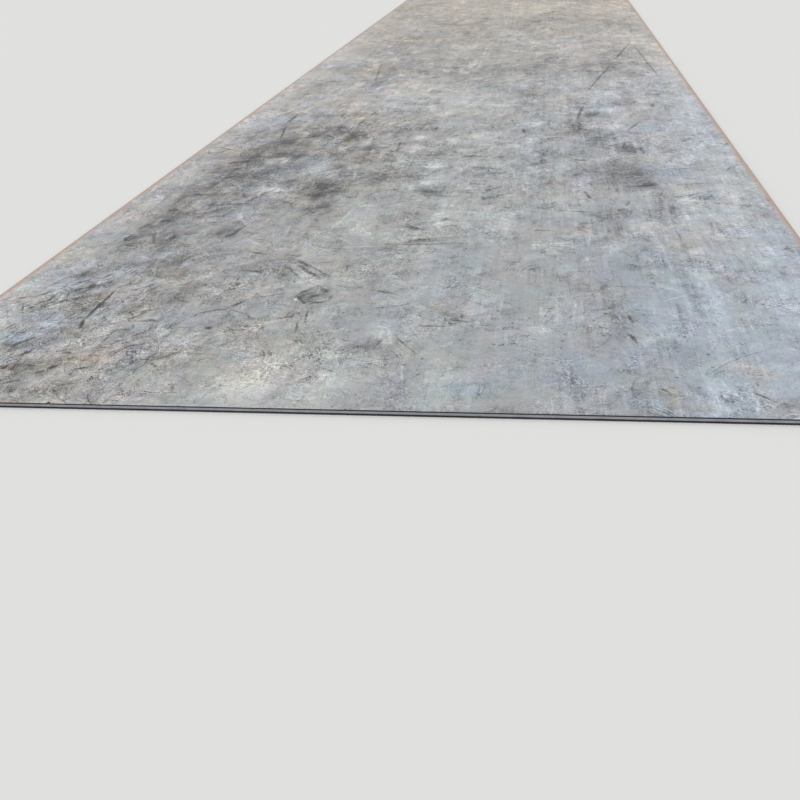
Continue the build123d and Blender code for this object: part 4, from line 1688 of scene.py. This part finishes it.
def underside_material():
    """Cleaner blue-grey scale with less dust."""
    material, tree, shader = new_material("clean_mill_scale", 0.0, 0.35)
    mottle = use(tree, MOTTLE, Place=from_front_left(tree), Seed=(21.0, 13.0, 0.0))
    tone = total(
        tree,
        0.5,
        lean(tree, mottle["Broad"], 1.0),
        lean(tree, mottle["Cloud"], 1.6),
        lean(tree, mottle["Streak"], 0.8),
    )
    tone = held(tree, tone)
    feed(tree, shader.inputs["Base Color"], blend(tree, tone, srgb(84, 86, 92), srgb(146, 148, 152)))
    feed(tree, shader.inputs["Roughness"], spread(tree, tone, 0.1, 0.9, 0.42, 0.6))
    feed(tree, shader.inputs["Normal"], bump(tree, mottle["Cloud"], 0.001))
    return material


band_materials = {
    # The lip is dark scale painted near black: partly its own colour, partly painted shade along the top of
    # the cut.
    "lip": edge_material("rolled_lip_scale_and_painted_shade", srgb(15, 15, 17), srgb(38, 38, 41), 0.0, 0.6, 0.0003),
    "land": edge_material(
        "burnished_land", srgb(127, 128, 135), srgb(167, 169, 176), 0.3, 0.45, 0.0001, painted_shade_top=True
    ),
    # The break is partly its own dull rough grey, darkened to near black as painted shade, as if it lay in
    # shadow under the land.
    "break": edge_material("torn_break_painted_shade", srgb(19, 20, 24), srgb(52, 53, 58), 0.0, 0.7, 0.0005),
    "underside": underside_material(),
}

plate = build_plate()
bpy.context.scene.collection.objects.link(plate)
for band in BANDS:
    plate.data.materials.append(band_materials[band])
for number, panel in enumerate(PANELS):
    plate.data.materials.append(upper_face_material(number, panel))
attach(plate, "root")
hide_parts("steel_plate")


# Floor


def build_floor():
    """A plain pale floor, wide enough to fill the picture behind the plate."""
    half = 60.0
    corners = [(-half, -half, 0), (half, -half, 0), (half, half, 0), (-half, half, 0)]
    mesh = bpy.data.meshes.new("floor")
    mesh.from_pydata(corners, [], [(0, 1, 2, 3)])
    floor = bpy.data.objects.new("floor", mesh)
    bpy.context.scene.collection.objects.link(floor)
    material, _, shader = new_material("pale_floor", 0.0, 0.2)
    shader.inputs["Base Color"].default_value = srgb(226, 226, 224)
    shader.inputs["Roughness"].default_value = 0.9
    floor.data.materials.append(material)
    return floor


build_floor()


# Light: an even pale sky all round, and one broad soft lamp from the front left


def build_light():
    world = bpy.data.worlds.new("even_sky")
    world.use_nodes = True
    background = world.node_tree.nodes["Background"]
    background.inputs["Color"].default_value = (1.0, 1.0, 1.0, 1.0)
    background.inputs["Strength"].default_value = 0.8
    bpy.context.scene.world = world
    lamp = bpy.data.lights.new("soft_lamp", "SUN")
    lamp.energy = 0.8
    lamp.angle = math.radians(40)
    holder = bpy.data.objects.new("soft_lamp", lamp)
    holder.rotation_euler = (math.radians(38), math.radians(-24), 0.0)
    bpy.context.scene.collection.objects.link(holder)


build_light()


# Camera: the eye stands off the front end, a little right of the middle, and looks down the plate


def build_camera():
    data = bpy.data.cameras.new("camera")
    data.sensor_width = 36.0
    data.lens = 40.5
    data.clip_end = 200.0
    camera = bpy.data.objects.new("camera", data)
    camera.location = (0.3957, -6.538, 0.8959)
    camera.rotation_euler = (math.radians(61.181), math.radians(3.385), math.radians(8.410))
    bpy.context.scene.collection.objects.link(camera)
    bpy.context.scene.camera = camera


build_camera()
bpy.context.scene.view_settings.view_transform = "Standard"
